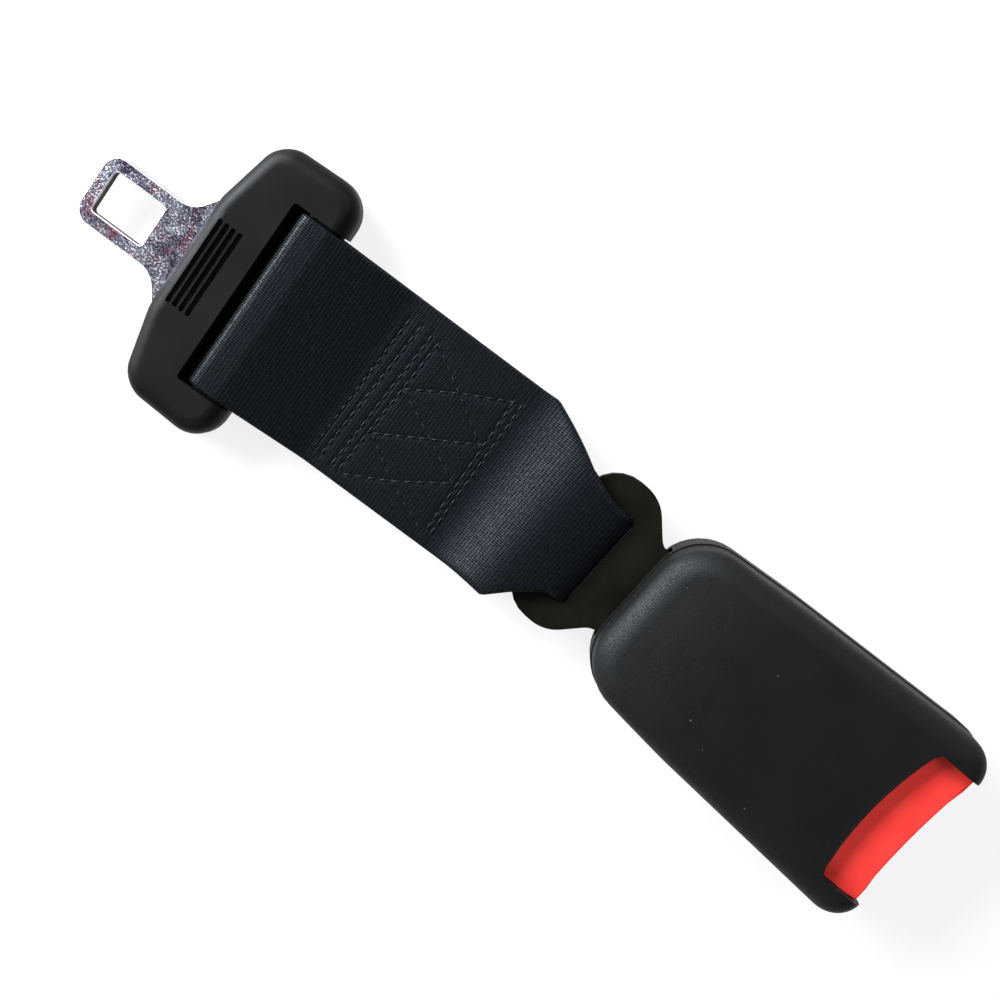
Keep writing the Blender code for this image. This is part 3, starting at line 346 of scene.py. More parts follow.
class Finish:
    """A material being made, and the patterns that it can use."""

    def __init__(self, name, **plain):
        self.material = bpy.data.materials.new(name)
        self.material.use_nodes = True
        self.shader = self.material.node_tree.nodes["Principled BSDF"]
        self.feed(**plain)

    def node(self, kind, settings=None, inputs=(), output=0):
        made = self.material.node_tree.nodes.new(kind)
        for key, value in (settings or {}).items():
            setattr(made, key, value)
        for key, value in inputs.items() if isinstance(inputs, dict) else enumerate(inputs):
            self.join(made.inputs[key], value)
        return Wire(self, made.outputs[output])

    def join(self, socket, value):
        if isinstance(value, Wire):
            self.material.node_tree.links.new(value.socket, socket)
        else:
            socket.default_value = value

    def feed(self, **values):
        """Sets or links the shader's sockets, whose names are written with _ for a space."""
        for name, value in values.items():
            self.join(self.shader.inputs[name.replace("_", " ").title().replace("Ior", "IOR")], value)

    def here(self, stretch=(1, 1, 1)):
        """The place on the piece, for patterns, stretched along its axes."""
        place = self.node("ShaderNodeTexCoord", output="Object")
        return self.node("ShaderNodeMapping", inputs={"Vector": place, "Scale": stretch})

    def noise(self, size, detail=2.0, rough=0.5, stretch=(1, 1, 1)):
        return self.node("ShaderNodeTexNoise", inputs={
            "Vector": self.here(stretch), "Scale": 1 / size, "Detail": detail, "Roughness": rough})

    def cells(self, size):
        """How far each place is from the nearest of many scattered points."""
        return self.node("ShaderNodeTexVoronoi", inputs={
            "Vector": self.here(), "Scale": 1 / size}, output="Distance")

    def fade(self, value, low, high):
        """From 0 at low to 1 at high, with soft ends."""
        return self.node("ShaderNodeMapRange", {"interpolation_type": "SMOOTHSTEP"},
                         {"Value": value, "From Min": low, "From Max": high})

    def mix(self, share, first, second):
        return self.node("ShaderNodeMix", {"data_type": "RGBA"}, {0: share, 6: first, 7: second}, output=2)

    def relief(self, height, depth, strength=1.0):
        bump = {"Height": height, "Distance": depth, "Strength": strength}
        self.feed(normal=self.node("ShaderNodeBump", inputs=bump))


# How much rougher a moulding's grain makes it, for each millimetre of the grain's depth
GRAIN_SCATTER = 2.8


def moulded_black(name, colour, roughness, shine, grain, depth, dust=0.0, tint=(1, 1, 1, 1)):
    """Black moulded plastic: a fine grain of a size and depth, rubbed patches and a few specks of dust."""
    finish = Finish(name, specular_ior_level=shine, specular_tint=tint)
    patches = finish.noise(14 * MM, 3)
    fine = finish.noise(grain, 2, 0.6)
    speck = 1 - finish.fade(finish.cells(5.5 * MM), 0.015, 0.06)
    lighter = tuple(c * 1.5 for c in colour[:3]) + (1,)
    base = finish.mix(finish.fade(patches, 0.35, 0.75), colour, lighter)
    finish.feed(base_color=finish.mix(speck * dust, base, (0.30, 0.29, 0.27, 1)))
    rough = finish.fade(fine, 0.35, 0.65) * (depth / MM * GRAIN_SCATTER)
    finish.feed(roughness=finish.fade(patches, 0.2, 0.8) * 0.12 + roughness + rough + speck * 0.2)
    finish.relief(fine, depth)
    return finish.material


def plated_zinc():
    """The tongue's plating: a bright metal with a mottled purple and pink bloom, and fine scuffs."""
    finish = Finish("plated_zinc", metallic=1.0)
    cloud = finish.fade(finish.noise(5.0 * MM, 4, 0.65), 0.38, 0.60)
    bloom = finish.fade(finish.noise(4.0 * MM, 2, 0.6), 0.50, 0.66)
    fleck = finish.fade(finish.noise(0.42 * MM, 3, 0.75), 0.50, 0.62)
    tone = finish.mix(cloud, (0.095, 0.070, 0.130, 1), (0.30, 0.30, 0.40, 1))
    tone = finish.mix(bloom * 0.8, tone, (0.28, 0.095, 0.16, 1))
    finish.feed(base_color=finish.mix(fleck * (cloud * 0.65 + 0.25), tone, (1.0, 0.98, 1.0, 1)))
    finish.feed(roughness=fleck * 0.15 + 0.30)
    finish.relief(finish.noise(0.4 * MM, 2), 0.03 * MM, 0.6)
    return finish.material


def painted_edge_highlight():
    """The tongue's rounded edges, given a near-white metal colour as a painted highlight along them."""
    finish = Finish("painted_edge_highlight", metallic=0.35)
    highlight_mottle = finish.noise(1.2 * MM, 3, 0.6)
    finish.feed(base_color=finish.mix(highlight_mottle, (0.45, 0.43, 0.46, 1), (0.98, 0.97, 0.98, 1)))
    finish.feed(roughness=highlight_mottle * 0.15 + 0.25)
    finish.relief(highlight_mottle, 0.01 * MM, 0.4)
    return finish.material


def sheared_steel():
    """The rough walls that the punch left inside the tongue's hole."""
    finish = Finish("sheared_steel", metallic=0.4, specular_ior_level=0.1, roughness=0.7)
    tear = finish.noise(0.8 * MM, 3, 0.7, (1, 1, 0.2))
    finish.feed(base_color=finish.mix(tear, (0.020, 0.014, 0.007, 1), (0.085, 0.068, 0.045, 1)))
    finish.relief(tear, 0.05 * MM)
    return finish.material


def woven_belt():
    """Black polyester webbing: yarns along it, with dark slits between them that the weft closes."""
    finish = Finish("woven_belt", specular_ior_level=0.12, specular_tint=(0.60, 0.80, 1.0, 1),
                    coat_roughness=0.42)
    place = finish.node("ShaderNodeUVMap", {"uv_map": "weave"})
    along = finish.node("ShaderNodeSeparateXYZ", inputs=[place])
    across = Wire(finish, along.socket.node.outputs["Y"])
    wander = finish.noise(1.5 * MM, 2) * 0.8
    side = (across * (math.pi / YARN) + wander).sine()
    row = (along * (math.pi / WEFT) + wander).sine()
    slit = 1 - finish.fade(side * side, 0.20, 0.90)
    length = finish.fade(row * row, 0.05, 0.45)
    uneven = finish.fade(finish.noise(0.7 * MM, 3, 0.7), 0.25, 0.75)
    light = (1 - slit * length) * (uneven * 0.6 + 0.4)
    finish.feed(base_color=finish.mix(light, (0.0002, 0.0002, 0.0003, 1), (0.0030, 0.0032, 0.0040, 1)))
    finish.feed(roughness=0.95 - light * 0.5, coat_weight=light * light * 0.40)
    finish.relief(light, 0.10 * MM)
    return finish.material


def belt_thread():
    """The black sewing thread, with its twist."""
    finish = Finish("belt_thread", specular_ior_level=0.2, roughness=0.5)
    twist = finish.noise(0.3 * MM, 2, 0.6)
    finish.feed(base_color=finish.mix(twist, (0.0008, 0.0008, 0.001, 1), (0.006, 0.006, 0.008, 1)))
    finish.relief(twist, 0.05 * MM)
    return finish.material


def coated_steel(name, colour, roughness):
    """Blackened steel: a matte warm coating, lighter in patches."""
    finish = Finish(name, specular_ior_level=0.06)
    patches = finish.noise(9 * MM, 3, 0.6)
    fine = finish.noise(0.5 * MM, 2)
    lighter = tuple(c * 1.8 for c in colour[:3]) + (1,)
    finish.feed(base_color=finish.mix(finish.fade(patches, 0.3, 0.75), colour, lighter))
    finish.feed(roughness=finish.fade(patches, 0.2, 0.8) * 0.15 + roughness)
    finish.relief(fine, 0.02 * MM, 0.6)
    return finish.material


def bare_steel(name, colour, roughness, stretch=(1, 8, 8)):
    """Rolled or drawn steel, with its fine lines along X."""
    finish = Finish(name, metallic=1.0)
    lines = finish.noise(1.6 * MM, 3, 0.6, stretch)
    darker = tuple(c * 0.7 for c in colour[:3]) + (1,)
    finish.feed(base_color=finish.mix(lines, darker, colour), roughness=lines * 0.15 + roughness)
    finish.relief(lines, 0.01 * MM, 0.5)
    return finish.material


def button_red():
    """Coral red plastic, a little cloudy, with a fine mould grain."""
    finish = Finish("button_red", specular_ior_level=0.45, subsurface_weight=0.05)
    cloud = finish.noise(7 * MM, 3, 0.55)
    fine = finish.noise(0.35 * MM, 2)
    finish.feed(base_color=finish.mix(cloud, (0.90, 0.036, 0.029, 1), (0.98, 0.060, 0.051, 1)))
    finish.feed(roughness=cloud * 0.12 + 0.34)
    finish.relief(fine, 0.015 * MM, 0.6)
    return finish.material


def nylon_grey():
    """The ejector's plain dark grey plastic."""
    finish = Finish("nylon_grey", roughness=0.45)
    cloud = finish.noise(4 * MM, 3)
    finish.feed(base_color=finish.mix(cloud, (0.07, 0.07, 0.075, 1), (0.12, 0.12, 0.125, 1)))
    finish.relief(finish.noise(0.4 * MM), 0.02 * MM, 0.5)
    return finish.material


def make_tongue(finish, edge, sheared):
    """The stamped tongue: a shank with a square hole, which flares into its plastic grip."""
    flare = (GRIP_NOSE_HALF - SHANK_HALF) / (GRIP_LOW.x - SHANK_END)
    inside = GRIP_LOW.x + BLADE_INSET
    shoulder = inside + GRIP_SWEEP
    reach = GRIP_HALF - BLADE_MARGIN
    outline = [(TIP, SHANK_HALF, 4.2 * MM), (SHANK_END, SHANK_HALF, 5.8 * MM),
               (inside, GRIP_NOSE_HALF + BLADE_INSET * flare, 0), (shoulder, reach, 2.6 * MM),
               (BAR_END - 2.1 * MM, reach, 2.6 * MM)]
    blade = slab("tongue_blade", both_sides(outline), STEEL_LOW.z, STEEL_HIGH.z)
    deep, over = STEEL_LOW.z - 5 * MM, STEEL_HIGH.z + 5 * MM
    carve(blade, slab("latch_hole", oblong(HOLE_START, HOLE_END, HOLE_HALF, 0.9 * MM), deep, over))
    slot = oblong(SLOT_START - SLOT_ROOM, BAR_START + SLOT_ROOM, HALF + 2 * SLOT_ROOM, 1.8 * MM)
    carve(blade, slab("belt_slot", slot, deep, over))
    blade.data.materials.clear()
    for layer in (finish, edge, sheared):
        blade.data.materials.append(layer)
    # The softened edges take slot 1, whose lighter colour is a painted highlight along the tongue's edges.
    soften(blade, BLADE_EDGE, finish=1)
    for face in blade.data.polygons:
        near_hole = HOLE_START - MM < face.center.x < HOLE_END + MM and abs(face.center.y) < HOLE_HALF + MM
        if abs(face.normal.z) < 0.1 and near_hole:
            face.material_index = 2
    settle(blade, "tongue", None, "tongue_steel", "tongue_plate")


def make_grip(finish):
    """The plastic grip: a soft-edged bar with a slot for the webbing and grooves for the thumb."""
    outline = [(GRIP_LOW.x, GRIP_NOSE_HALF, 15 * MM),
               (GRIP_LOW.x + GRIP_SWEEP, GRIP_HALF - 1.2 * MM, 7.8 * MM),
               (GRIP_HIGH.x, GRIP_HALF, 8 * MM)]
    grip = slab("tongue_grip", both_sides(outline), GRIP_LOW.z, GRIP_HIGH.z)
    round_rim(grip, GRIP_HIGH.z, GRIP_ROUND, 10)
    round_rim(grip, GRIP_LOW.z, GRIP_UNDER_ROUND, 6)
    side = HALF + BELT_ROOM
    opening = [(SLOT_START, side, 0.8 * MM), (GRIP_HIGH.x + 8 * MM, side, 0)]
    carve(grip, slab("belt_opening", both_sides(opening), GRIP_LOW.z - MM, GRIP_HIGH.z + MM))
    for k in range(GROOVES):
        x = GROOVE_START + k * GROOVE_STEP
        groove = slab("thumb_groove", oblong(x - GROOVE_HALF, x + GROOVE_HALF, GROOVE_REACH, 0.6 * MM),
                      GRIP_HIGH.z - GROOVE_DEPTH, GRIP_HIGH.z + MM)
        carve(grip, groove)
    soften(grip, 0.35 * MM, 3, 40)
    settle(grip, "tongue", finish, "grip_plastic", "tongue_cover", angle=40)

    bar = slab("grip_bar", oblong(BAR_START, BAR_END, side - 0.05 * MM), BAR.z - BAR_HALF, BAR.z + BAR_HALF)
    shape(bar, "EDGE", lambda e: abs(e.verts[0].co.x - e.verts[1].co.x) < NEAR and e.calc_length() > HALF,
          (bpy.ops.mesh.bevel, {"offset": BAR_HALF - 0.2 * MM, "segments": 10, "affect": "EDGES"}))
    settle(bar, "tongue", finish, "grip_plastic")


def make_lid(finish):
    """The buckle's upper cover: a soft-edged shell, cut away with a lip over the button."""
    outline = both_sides([
        (BUCKLE_START + LEDGE, BUCKLE_BACK_HALF - LEDGE, 12.7 * MM),
        (BUCKLE_WAIST, BUCKLE_WAIST_HALF - LEDGE, 60 * MM),
        (BUCKLE_END - LEDGE, BUCKLE_FRONT_HALF - LEDGE, 7.5 * MM)])
    lid = slab("buckle_lid", outline, PARTING, LID_HIGH.z)
    round_rim(lid, LID_HIGH.z, TOP_ROUND, 12)
    hollow = slab("lid_hollow", both_sides([
        (BUCKLE_START + LEDGE + WALL, BUCKLE_BACK_HALF - LEDGE - WALL, 10.7 * MM),
        (BUCKLE_WAIST, BUCKLE_WAIST_HALF - LEDGE - WALL, 60 * MM),
        (BUCKLE_END - LEDGE - WALL, BUCKLE_FRONT_HALF - LEDGE - WALL, 5.5 * MM)]),
        PARTING - 2 * MM, LID_HIGH.z - WALL)
    round_rim(hollow, LID_HIGH.z - WALL, HOLLOW_ROUND, 5)
    carve(lid, hollow)
    half = BUTTON_HALF + FIT
    for low, high in ((half, half + CHEEK), (-half - CHEEK, -half)):
        x_low, x_high = CUTOUT - CHEEK, CHEEK_END
        corners = [(x_low, low, 0), (x_high, low, 0), (x_high, high, 0), (x_low, high, 0)]
        carve(lid, slab("button_cheek", corners, PARTING, LID_HIGH.z - WALL + FIT), "UNION")
    radius = (half * half + CUTOUT_BOW ** 2) / (2 * CUTOUT_BOW)
    spread = math.asin(half / radius)
    bow = [(CUTOUT - CUTOUT_BOW + radius - radius * math.cos(a), radius * math.sin(a), 0)
           for a in (spread - 2 * spread * k / 20 for k in range(21))]
    opening = bow + [(BUCKLE_END + 3 * MM, -half, 0), (BUCKLE_END + 3 * MM, half, 0)]
    carve(lid, slab("button_opening", opening, PARTING - 2 * MM, LID_HIGH.z + 2 * MM))

    def at_cutout(edge):
        return edge.calc_face_angle(0) > SHARP and all(
            abs(v.co.z - LID_HIGH.z) < NEAR and abs(v.co.y) < half + NEAR and v.co.x < CUTOUT + 10 * NEAR
            for v in edge.verts)

    shape(lid, "EDGE", at_cutout,
          (bpy.ops.mesh.bevel, {"offset": CUTOUT_LIP, "segments": 1, "affect": "EDGES"}))
    for k in range(1, DOME_STEPS):
        shape(lid, "FACE", everything, (bpy.ops.mesh.bisect, {
            "plane_co": (BUCKLE_START + DOME_REACH * k / DOME_STEPS, 0, 0), "plane_no": (1, 0, 0)}))
    for vertex in lid.data.vertices:
        rise = (vertex.co.z - PARTING) / (LID_HIGH.z - PARTING)
        back = max(0, 1 - (vertex.co.x - BUCKLE_START) / DOME_REACH)
        vertex.co.y *= 1 - LID_TAPER * rise
        vertex.co.z -= DOME_DROP * rise * back * back
    soften(lid, 0.45 * MM, 3, 40)
    turn(lid)
    settle(lid, "buckle", finish, "cover_plastic", "upper_cover", angle=40)


def make_button(finish):
    """The push button: the CAD cap with a wide soft strip along its hollowed outer edge."""
    button = from_node("push_button", "release_button")
    strip_start = BUCKLE_END - LOOP.x - BUTTON_STRIP

    def on_strip(edge):
        near_front = all((v.co - LOOP).dot(ALONG) > strip_start and v.co.z > BUTTON_HIGH.z - BUTTON_RIM
                         for v in edge.verts)
        level = abs((edge.verts[0].co - edge.verts[1].co).normalized().z) < 0.5
        return near_front and level and edge.calc_face_angle(0) > 0.8

    shape(button, "EDGE", on_strip,
          (bpy.ops.mesh.bevel, {"offset": 0.9 * MM, "segments": 4, "affect": "EDGES"}))
    soften(button, 0.3 * MM, 3, 40)
    settle(button, "button", finish, "red_plastic", "release_button", angle=40)


def make_coils(finish):
    """Editable copies of the CAD springs that the button and the ejector push together."""
    for node, (joint, travel) in PUSHED_SPRINGS.items():
        coil = from_node(node.replace("spring", "coil"), node)
        settle(coil, "buckle", finish, "spring_steel", node)
        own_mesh(coil)


def half_width(x, left):
    """Half the webbing's width, before it is turned. Its corners are folded in to fill the plate's slot."""
    folds = FOLDS_LEFT if left else FOLDS_RIGHT
    for (before, wide), (after, narrow) in zip(folds, folds[1:]):
        if x < after:
            return wide + (narrow - wide) * max(0, (x - before) / (after - before))
    short = min(max(0, SLOT_ROUND - SLOT_FRONT + x), SLOT_ROUND)
    return SLOT_HALF - SLOT_ROUND + math.sqrt(SLOT_ROUND ** 2 - short ** 2)


def swing(point):
    """Turns the webbing gradually towards the buckle, past its sewn part."""
    if point.x <= SEWN_END:
        return point
    share = ease((point.x - SEWN_END) / (PLATE_EDGE - SEWN_END))
    pivot = LOOP.xy.to_3d()
    return pivot + Matrix.Rotation(TURN * share, 3, "Z") @ (point - pivot)


def quarter(x, edge, across, side, top):
    """A quarter of the strap's outline, from its middle to one side, as (y, height in half thicknesses)."""
    flat = half_width(x, side > 0) - edge
    count = across // 2
    turns = [math.pi / 2 * s / 5 for s in range(1, 6 if top > 0 else 5)]
    row = [(side * flat * s / count, top) for s in range(count + 1)]
    return row + [(side * (flat + edge * math.sin(a)), top * math.cos(a)) for a in turns]


def band(name, stations, across=40, relief=None):
    """A closed strap through stations of (x, z, direction in degrees, thickness, edge width).

    The edge width is how far in from each side the strap's rounded edge begins. The UV map named weave holds
    the metres along the strap and across it."""
    mesh = bmesh.new()
    weave = mesh.loops.layers.uv.new("weave")
    rings, length = [], 0.0
    places = {}
    for k, (x, z, heading, thick, edge) in enumerate(stations):
        if k:
            length += math.hypot(x - stations[k - 1][0], z - stations[k - 1][1])
        up = Vector((-math.sin(math.radians(heading)), 0, math.cos(math.radians(heading))))
        ring = quarter(x, edge, across, 1, 1) + quarter(x, edge, across, 1, -1)[:0:-1]
        ring += quarter(x, edge, across, -1, -1) + quarter(x, edge, across, -1, 1)[:0:-1]
        made = []
        for y, h in ring:
            place = Vector((x, y, z)) + up * (h * thick / 2)
            if relief and h > 0:
                place.z += relief(x, y)
            vertex = mesh.verts.new(swing(place))
            places[vertex] = (length, y)
            made.append(vertex)
        rings.append(made)
    count = len(rings[0])
    for first, second in zip(rings, rings[1:]):
        for k in range(count):
            mesh.faces.new([first[k], first[(k + 1) % count], second[(k + 1) % count], second[k]])
    for ring in (rings[0], rings[-1]):
        mesh.faces.new(ring)
    bmesh.ops.recalc_face_normals(mesh, faces=mesh.faces)
    for face in mesh.faces:
        for loop in face.loops:
            loop[weave].uv = places[loop.vert]
    data = bpy.data.meshes.new(name)
    mesh.to_mesh(data)
    mesh.free()
    piece = bpy.data.objects.new(name, data)
    bpy.context.scene.collection.objects.link(piece)
    return piece


def headed(points):
    """Stations from (x, z, thickness, edge width), each headed between its neighbours."""
    stations = []
    for k, (x, z, thick, edge) in enumerate(points):
        ahead, behind = points[min(k + 1, len(points) - 1)], points[max(k - 1, 0)]
        heading = math.degrees(math.atan2(ahead[1] - behind[1], ahead[0] - behind[0]))
        stations.append((x, z, heading, thick, edge))
    return stations


def ray(x, z, radius_x, radius_z, degrees):
    """The point of an ellipse round (x, z) at an angle."""
    turned = math.radians(degrees)
    return (x + radius_x * math.cos(turned), z + radius_z * math.sin(turned))


# Where the stitching goes over the webbing, as (x, y) in millimetres: rows across it, and a lattice
STITCH_ROWS = [
    ((-44.9, 18.8), (-45.9, -20.6)), ((-41.7, 19.1), (-43.5, -20.9)), ((-38.4, 19.0), (-40.0, -21.3)),
    ((-36.1, 18.3), (-37.9, -21.2)), ((-13.7, 18.3), (-12.3, -20.4)), ((-11.6, 18.6), (-10.9, -20.6))]
STITCH_LATTICE = [
    ((-36.6, 4.3), (-25.2, 11.5), (-12.3, 18.2)), ((-36.6, -8.8), (-24.3, -1.5), (-12.4, 5.5)),
    ((-36.7, -21.1), (-26.0, -15.4), (-13.8, -6.9)), ((-36.4, 18.0), (-25.6, 11.6), (-12.6, 3.5)),
    ((-36.6, 4.3), (-24.3, -1.5), (-12.6, -7.6)), ((-36.6, -8.8), (-26.0, -15.4), (-13.0, -20.9))]
STITCH_RUNS = [[Vector(place) * MM for place in run] for run in STITCH_ROWS + STITCH_LATTICE]
STITCH_PITCH = 2.9 * MM
STITCH_RADIUS = 0.21 * MM
STITCH_SIDES = 6

# How deep the stitching pulls the webbing in, and over what width: its own narrow groove and a wide hollow
PULLS = [(0.18 * MM, 0.40 * MM), (0.10 * MM, 1.6 * MM)]


def pulled(x, y):
    """How far the stitching pulls the webbing down at a place on its top."""
    here = Vector((x, y))
    nearest = 1.0
    for run in STITCH_RUNS:
        for a, b in zip(run, run[1:]):
            step = b - a
            share = min(max((here - a).dot(step) / step.length_squared, 0), 1)
            nearest = min(nearest, (here - a - step * share).length)
    return -sum(depth * math.exp(-(nearest / width) ** 2) for depth, width in PULLS)


def make_webbing(finish):
    """The strap in three pieces: the loop round the tongue's bar, the sewn layers and the plate's loop."""
    inner = BAR_HALF + FIT
    middle = inner + THICK / 2
    bar_end = BAR_END - BAR_HALF
    top_middle, low_middle = BELT_TOP - THICK / 2, BELT_FLOOR + THICK / 2
    flat = THICK / 2
    run = SEWN_START - bar_end
    fall = math.atan2(BAR.z - (BELT_TOP - THICK), run)
    lean = math.degrees(fall + math.asin(inner / math.hypot(run, BAR.z - BELT_TOP + THICK)))
    join_front = SEWN_START + JOIN_LAP

    path = [(join_front, top_middle), (SEWN_START + END_LAP, top_middle)]
    corner = ray(bar_end, BAR.z, middle, middle, 90 - lean)
    for k in range(1, 15):
        path.append((SEWN_START + (corner[0] - SEWN_START) * k / 15,
                     top_middle + (corner[1] - top_middle) * k / 15))
    path += [ray(bar_end, BAR.z, middle, middle, 90 - lean * (1 - k / 5)) for k in range(6)]
    path += [ray(BAR.x, BAR.z, middle, middle, 90 + 180 * k / 28) for k in range(29)]
    path += [(BAR.x + (join_front - BAR.x) * k / 12, BAR.z - middle + (low_middle - BAR.z + middle) * k / 12)
             for k in range(1, 13)]
    front = band("webbing_tongue_loop", headed([(x, z, THICK, flat) for x, z in path]))

    steps = 92
    start, end = join_front, SEWN_END - END_LAP
    rows = [(start + (end - start) * k / steps, top_middle, 0, THICK, flat) for k in range(steps + 1)]
    sewn = band("webbing_sewn", rows, 110, pulled)
    places = [start + (end - start) * k / 8 for k in range(9)]
    layers = [band("layer", [(x, height, 0, THICK, flat) for x in places])
              for height in (low_middle, low_middle + THICK)]
    only(sewn)
    for layer in layers:
        layer.select_set(True)
    bpy.ops.object.join()

    reach = SLOT_FRONT - 0.1 * MM - CREST
    ramp = []
    for k in range(1, 25):
        share = k / 24
        x = SEWN_END + (CREST - SEWN_END) * share
        thick = THICK + (FOLD_THICK - THICK) * ease(share)
        crest = BELT_TOP + (PLATE_MIDDLE + CREST_RISE - BELT_TOP) * ease(share)
        belly = BELT_FLOOR + (PLATE_MIDDLE - CREST_RISE - BELT_FLOOR) * ease(share)
        edge = THICK / 2 + FOLD_EDGE * ease(share)
        ramp.append((x, crest, belly, thick, edge))
    upper = [(end, top_middle, THICK, flat), (SEWN_END, top_middle, THICK, flat)]
    upper += [(x, crest - thick / 2, thick, edge) for x, crest, belly, thick, edge in ramp]
    lower = [(end, low_middle, THICK, flat), (SEWN_END, low_middle, THICK, flat)]
    lower += [(x, belly + thick / 2, thick, edge) for x, crest, belly, thick, edge in ramp]
    edge = ramp[-1][4]
    bend = [ray(CREST, PLATE_MIDDLE, reach - FOLD_THICK / 2, CREST_RISE - FOLD_THICK / 2, 90 - 180 * k / 40)
            for k in range(1, 40)]
    thin = [FOLD_THICK / 2 + (edge - FOLD_THICK / 2) * abs(1 - k / 20) for k in range(1, 40)]
    points = upper + [(x, z, FOLD_THICK, side) for (x, z), side in zip(bend, thin)] + lower[::-1]
    rear = band("webbing_plate_loop", headed(points))

    for piece in (front, rear, sewn):
        only(piece)
        bpy.ops.object.shade_smooth_by_angle(angle=math.radians(50))
        piece.data.materials.append(finish)
        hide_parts("webbing")
    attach(sewn, "strap")
    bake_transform(front)
    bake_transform(rear)


def along_run(run, distance):
    """The place at a distance along a run of stitching."""
    for a, b in zip(run, run[1:]):
        length = (b - a).length
        if distance <= length:
            break
        distance -= length
    return a + (b - a) * min(distance / length, 1)


def make_stitching(finish):
    """Rows of lockstitch across the strap and the lattice between them."""
    mesh = bmesh.new()
    angles = [math.pi * 2 * i / STITCH_SIDES for i in range(STITCH_SIDES)]
    for run in STITCH_RUNS:
        total = sum((b - a).length for a, b in zip(run, run[1:]))
        count = max(1, round(total / STITCH_PITCH))
        for k in range(count):
            rings = []
            for step in range(5):
                share = (step + 0.4) / 4.8
                reached = k + 0.04 + 0.92 * share
                place = along_run(run, reached * total / count)
                ahead = along_run(run, min(reached + 0.05, count) * total / count) - place
                along = ahead.normalized().to_3d() if ahead.length > 0 else Vector((1, 0, 0))
                side = Vector((-along.y, along.x, 0))
                bulge = math.sin(math.pi * share)
                centre = Vector((place.x, place.y, BELT_TOP + pulled(*place) + (0.34 * bulge - 0.16) * MM))
                thick = STITCH_RADIUS * (0.55 + 0.45 * bulge)
                spokes = [side * math.cos(a) + Vector((0, 0, math.sin(a))) for a in angles]
                rings.append([mesh.verts.new(centre + spoke * thick) for spoke in spokes])
            for first, second in zip(rings, rings[1:]):
                for i in range(STITCH_SIDES):
                    after = (i + 1) % STITCH_SIDES
                    mesh.faces.new([first[i], first[after], second[after], second[i]])
            mesh.faces.new(rings[0])
            mesh.faces.new(rings[-1])
    bmesh.ops.recalc_face_normals(mesh, faces=mesh.faces)
    data = bpy.data.meshes.new("belt_stitching")
    mesh.to_mesh(data)
    mesh.free()
    piece = bpy.data.objects.new("belt_stitching", data)
    bpy.context.scene.collection.objects.link(piece)
    settle(piece, "strap", finish, "polyester", angle=60)


def dress_nodes(finishes):
    """Gives the CAD nodes that stay their materials."""
    for node, finish in finishes.items():
        item = frame["nodes"][node]
        item.data.materials.clear()
        item.data.materials.append(finish)


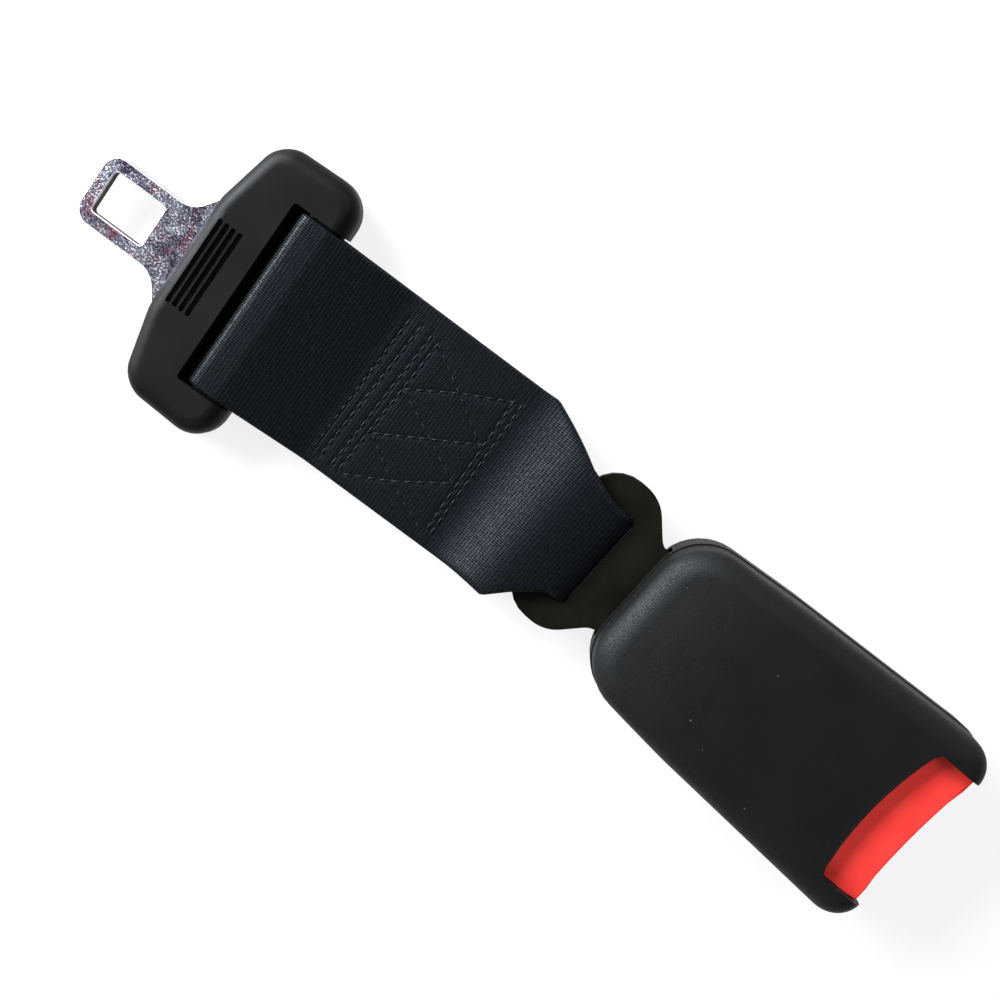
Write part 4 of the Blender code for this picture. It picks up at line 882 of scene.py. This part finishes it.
def make_studio():
    """A pale floor that keeps the shadow, a broad cool light from behind the tongue, and a dim room."""
    for item in bpy.context.selected_objects:
        item.select_set(False)
    bpy.ops.mesh.primitive_plane_add(size=6, location=(0, 0, 0))
    floor = bpy.context.object
    floor.name = "studio_floor"
    finish = Finish("studio_paper", base_color=(0.92, 0.92, 0.92, 1), roughness=0.9, specular_ior_level=0.1)
    nodes = finish.material.node_tree
    rays = finish.node("ShaderNodeLightPath")
    ports = rays.socket.node.outputs
    seen = rays.top(Wire(finish, ports["Is Glossy Ray"])).top(Wire(finish, ports["Is Transmission Ray"]))
    glow = finish.node("ShaderNodeEmission", inputs={"Color": (1, 1, 1, 1), "Strength": 1.0})
    paper = Wire(finish, finish.shader.outputs[0])
    mixed = finish.node("ShaderNodeMixShader", inputs=[seen * 0.82, paper, glow])
    nodes.links.new(mixed.socket, nodes.nodes["Material Output"].inputs["Surface"])
    floor.data.materials.append(finish.material)

    world = bpy.data.worlds.new("studio_room")
    bpy.context.scene.world = world
    world.use_nodes = True
    nodes = world.node_tree.nodes
    rays = nodes.new("ShaderNodeLightPath")
    room = nodes["Background"]
    room.inputs["Color"].default_value = (0.98, 0.99, 1.0, 1)
    room.inputs["Strength"].default_value = ROOM_LEVEL
    white = nodes.new("ShaderNodeBackground")
    white.inputs["Color"].default_value = (1, 1, 1, 1)
    mixed = nodes.new("ShaderNodeMixShader")
    links = world.node_tree.links
    links.new(rays.outputs["Is Camera Ray"], mixed.inputs[0])
    links.new(room.outputs[0], mixed.inputs[1])
    links.new(white.outputs[0], mixed.inputs[2])
    links.new(mixed.outputs[0], nodes["World Output"].inputs["Surface"])

    for name, place, size, power, colour in LAMPS:
        lamp = bpy.data.lights.new(name, "AREA")
        lamp.shape = "RECTANGLE"
        lamp.size, lamp.size_y = size
        lamp.energy = power
        lamp.color = colour
        item = bpy.data.objects.new(name, lamp)
        bpy.context.scene.collection.objects.link(item)
        item.location = place
        item.rotation_euler = (-Vector(place)).to_track_quat("-Z", "Y").to_euler()


def make_camera():
    """The photograph's view: from above, a little to the buckle's left, with the tongue at the upper left."""
    lens = bpy.data.cameras.new("studio_camera")
    lens.lens = CAMERA_LENS
    lens.sensor_width = 36
    lens.clip_start = 0.01
    camera = bpy.data.objects.new("studio_camera", lens)
    bpy.context.scene.collection.objects.link(camera)
    back = CAMERA_RIGHT.cross(CAMERA_UP).normalized()
    up = back.cross(CAMERA_RIGHT).normalized()
    turned = Matrix((CAMERA_RIGHT, up, back)).transposed().to_4x4()
    camera.matrix_world = Matrix.Translation(CAMERA_PLACE) @ turned
    bpy.context.scene.camera = camera


def build():
    make_camera()
    make_studio()
    # The tongue's second finish is a painted highlight on its rounded edges.
    make_tongue(plated_zinc(), painted_edge_highlight(), sheared_steel())
    grip_black = moulded_black("grip_black", (0.0022, 0.0022, 0.0021, 1), 0.46, 0.13, 0.5 * MM, 0.010 * MM)
    make_grip(grip_black)
    webbing = woven_belt()
    make_webbing(webbing)
    make_stitching(belt_thread())
    cover_black = moulded_black("cover_black", (0.0018, 0.0014, 0.0010, 1), 0.47, 0.24, 0.36 * MM, 0.08 * MM,
                                dust=0.30, tint=(0.86, 0.95, 1.0, 1))
    make_lid(cover_black)
    make_button(button_red())
    steel = bare_steel("rolled_steel", (0.50, 0.50, 0.48, 1), 0.32)
    wire = bare_steel("spring_wire", (0.45, 0.45, 0.46, 1), 0.25, (1, 1, 1))
    make_coils(wire)
    finishes = {
        "anchor_plate": coated_steel("blackened_plate", (0.0034, 0.0031, 0.0021, 1), 0.55),
        "lower_cover": cover_black,
        "tongue_guide": cover_black,
        "buckle_frame": steel,
        "latch": bare_steel("hardened_latch", (0.40, 0.40, 0.40, 1), 0.36),
        "latch_pin": wire,
        "lock_bar": wire,
        "ejector": nylon_grey(),
    }
    for node in frame["nodes"]:
        if "spring" in node:
            finishes[node] = wire
        elif "rivet" in node:
            finishes[node] = steel
    dress_nodes(finishes)


bpy.context.scene.view_settings.view_transform = "Standard"
build()
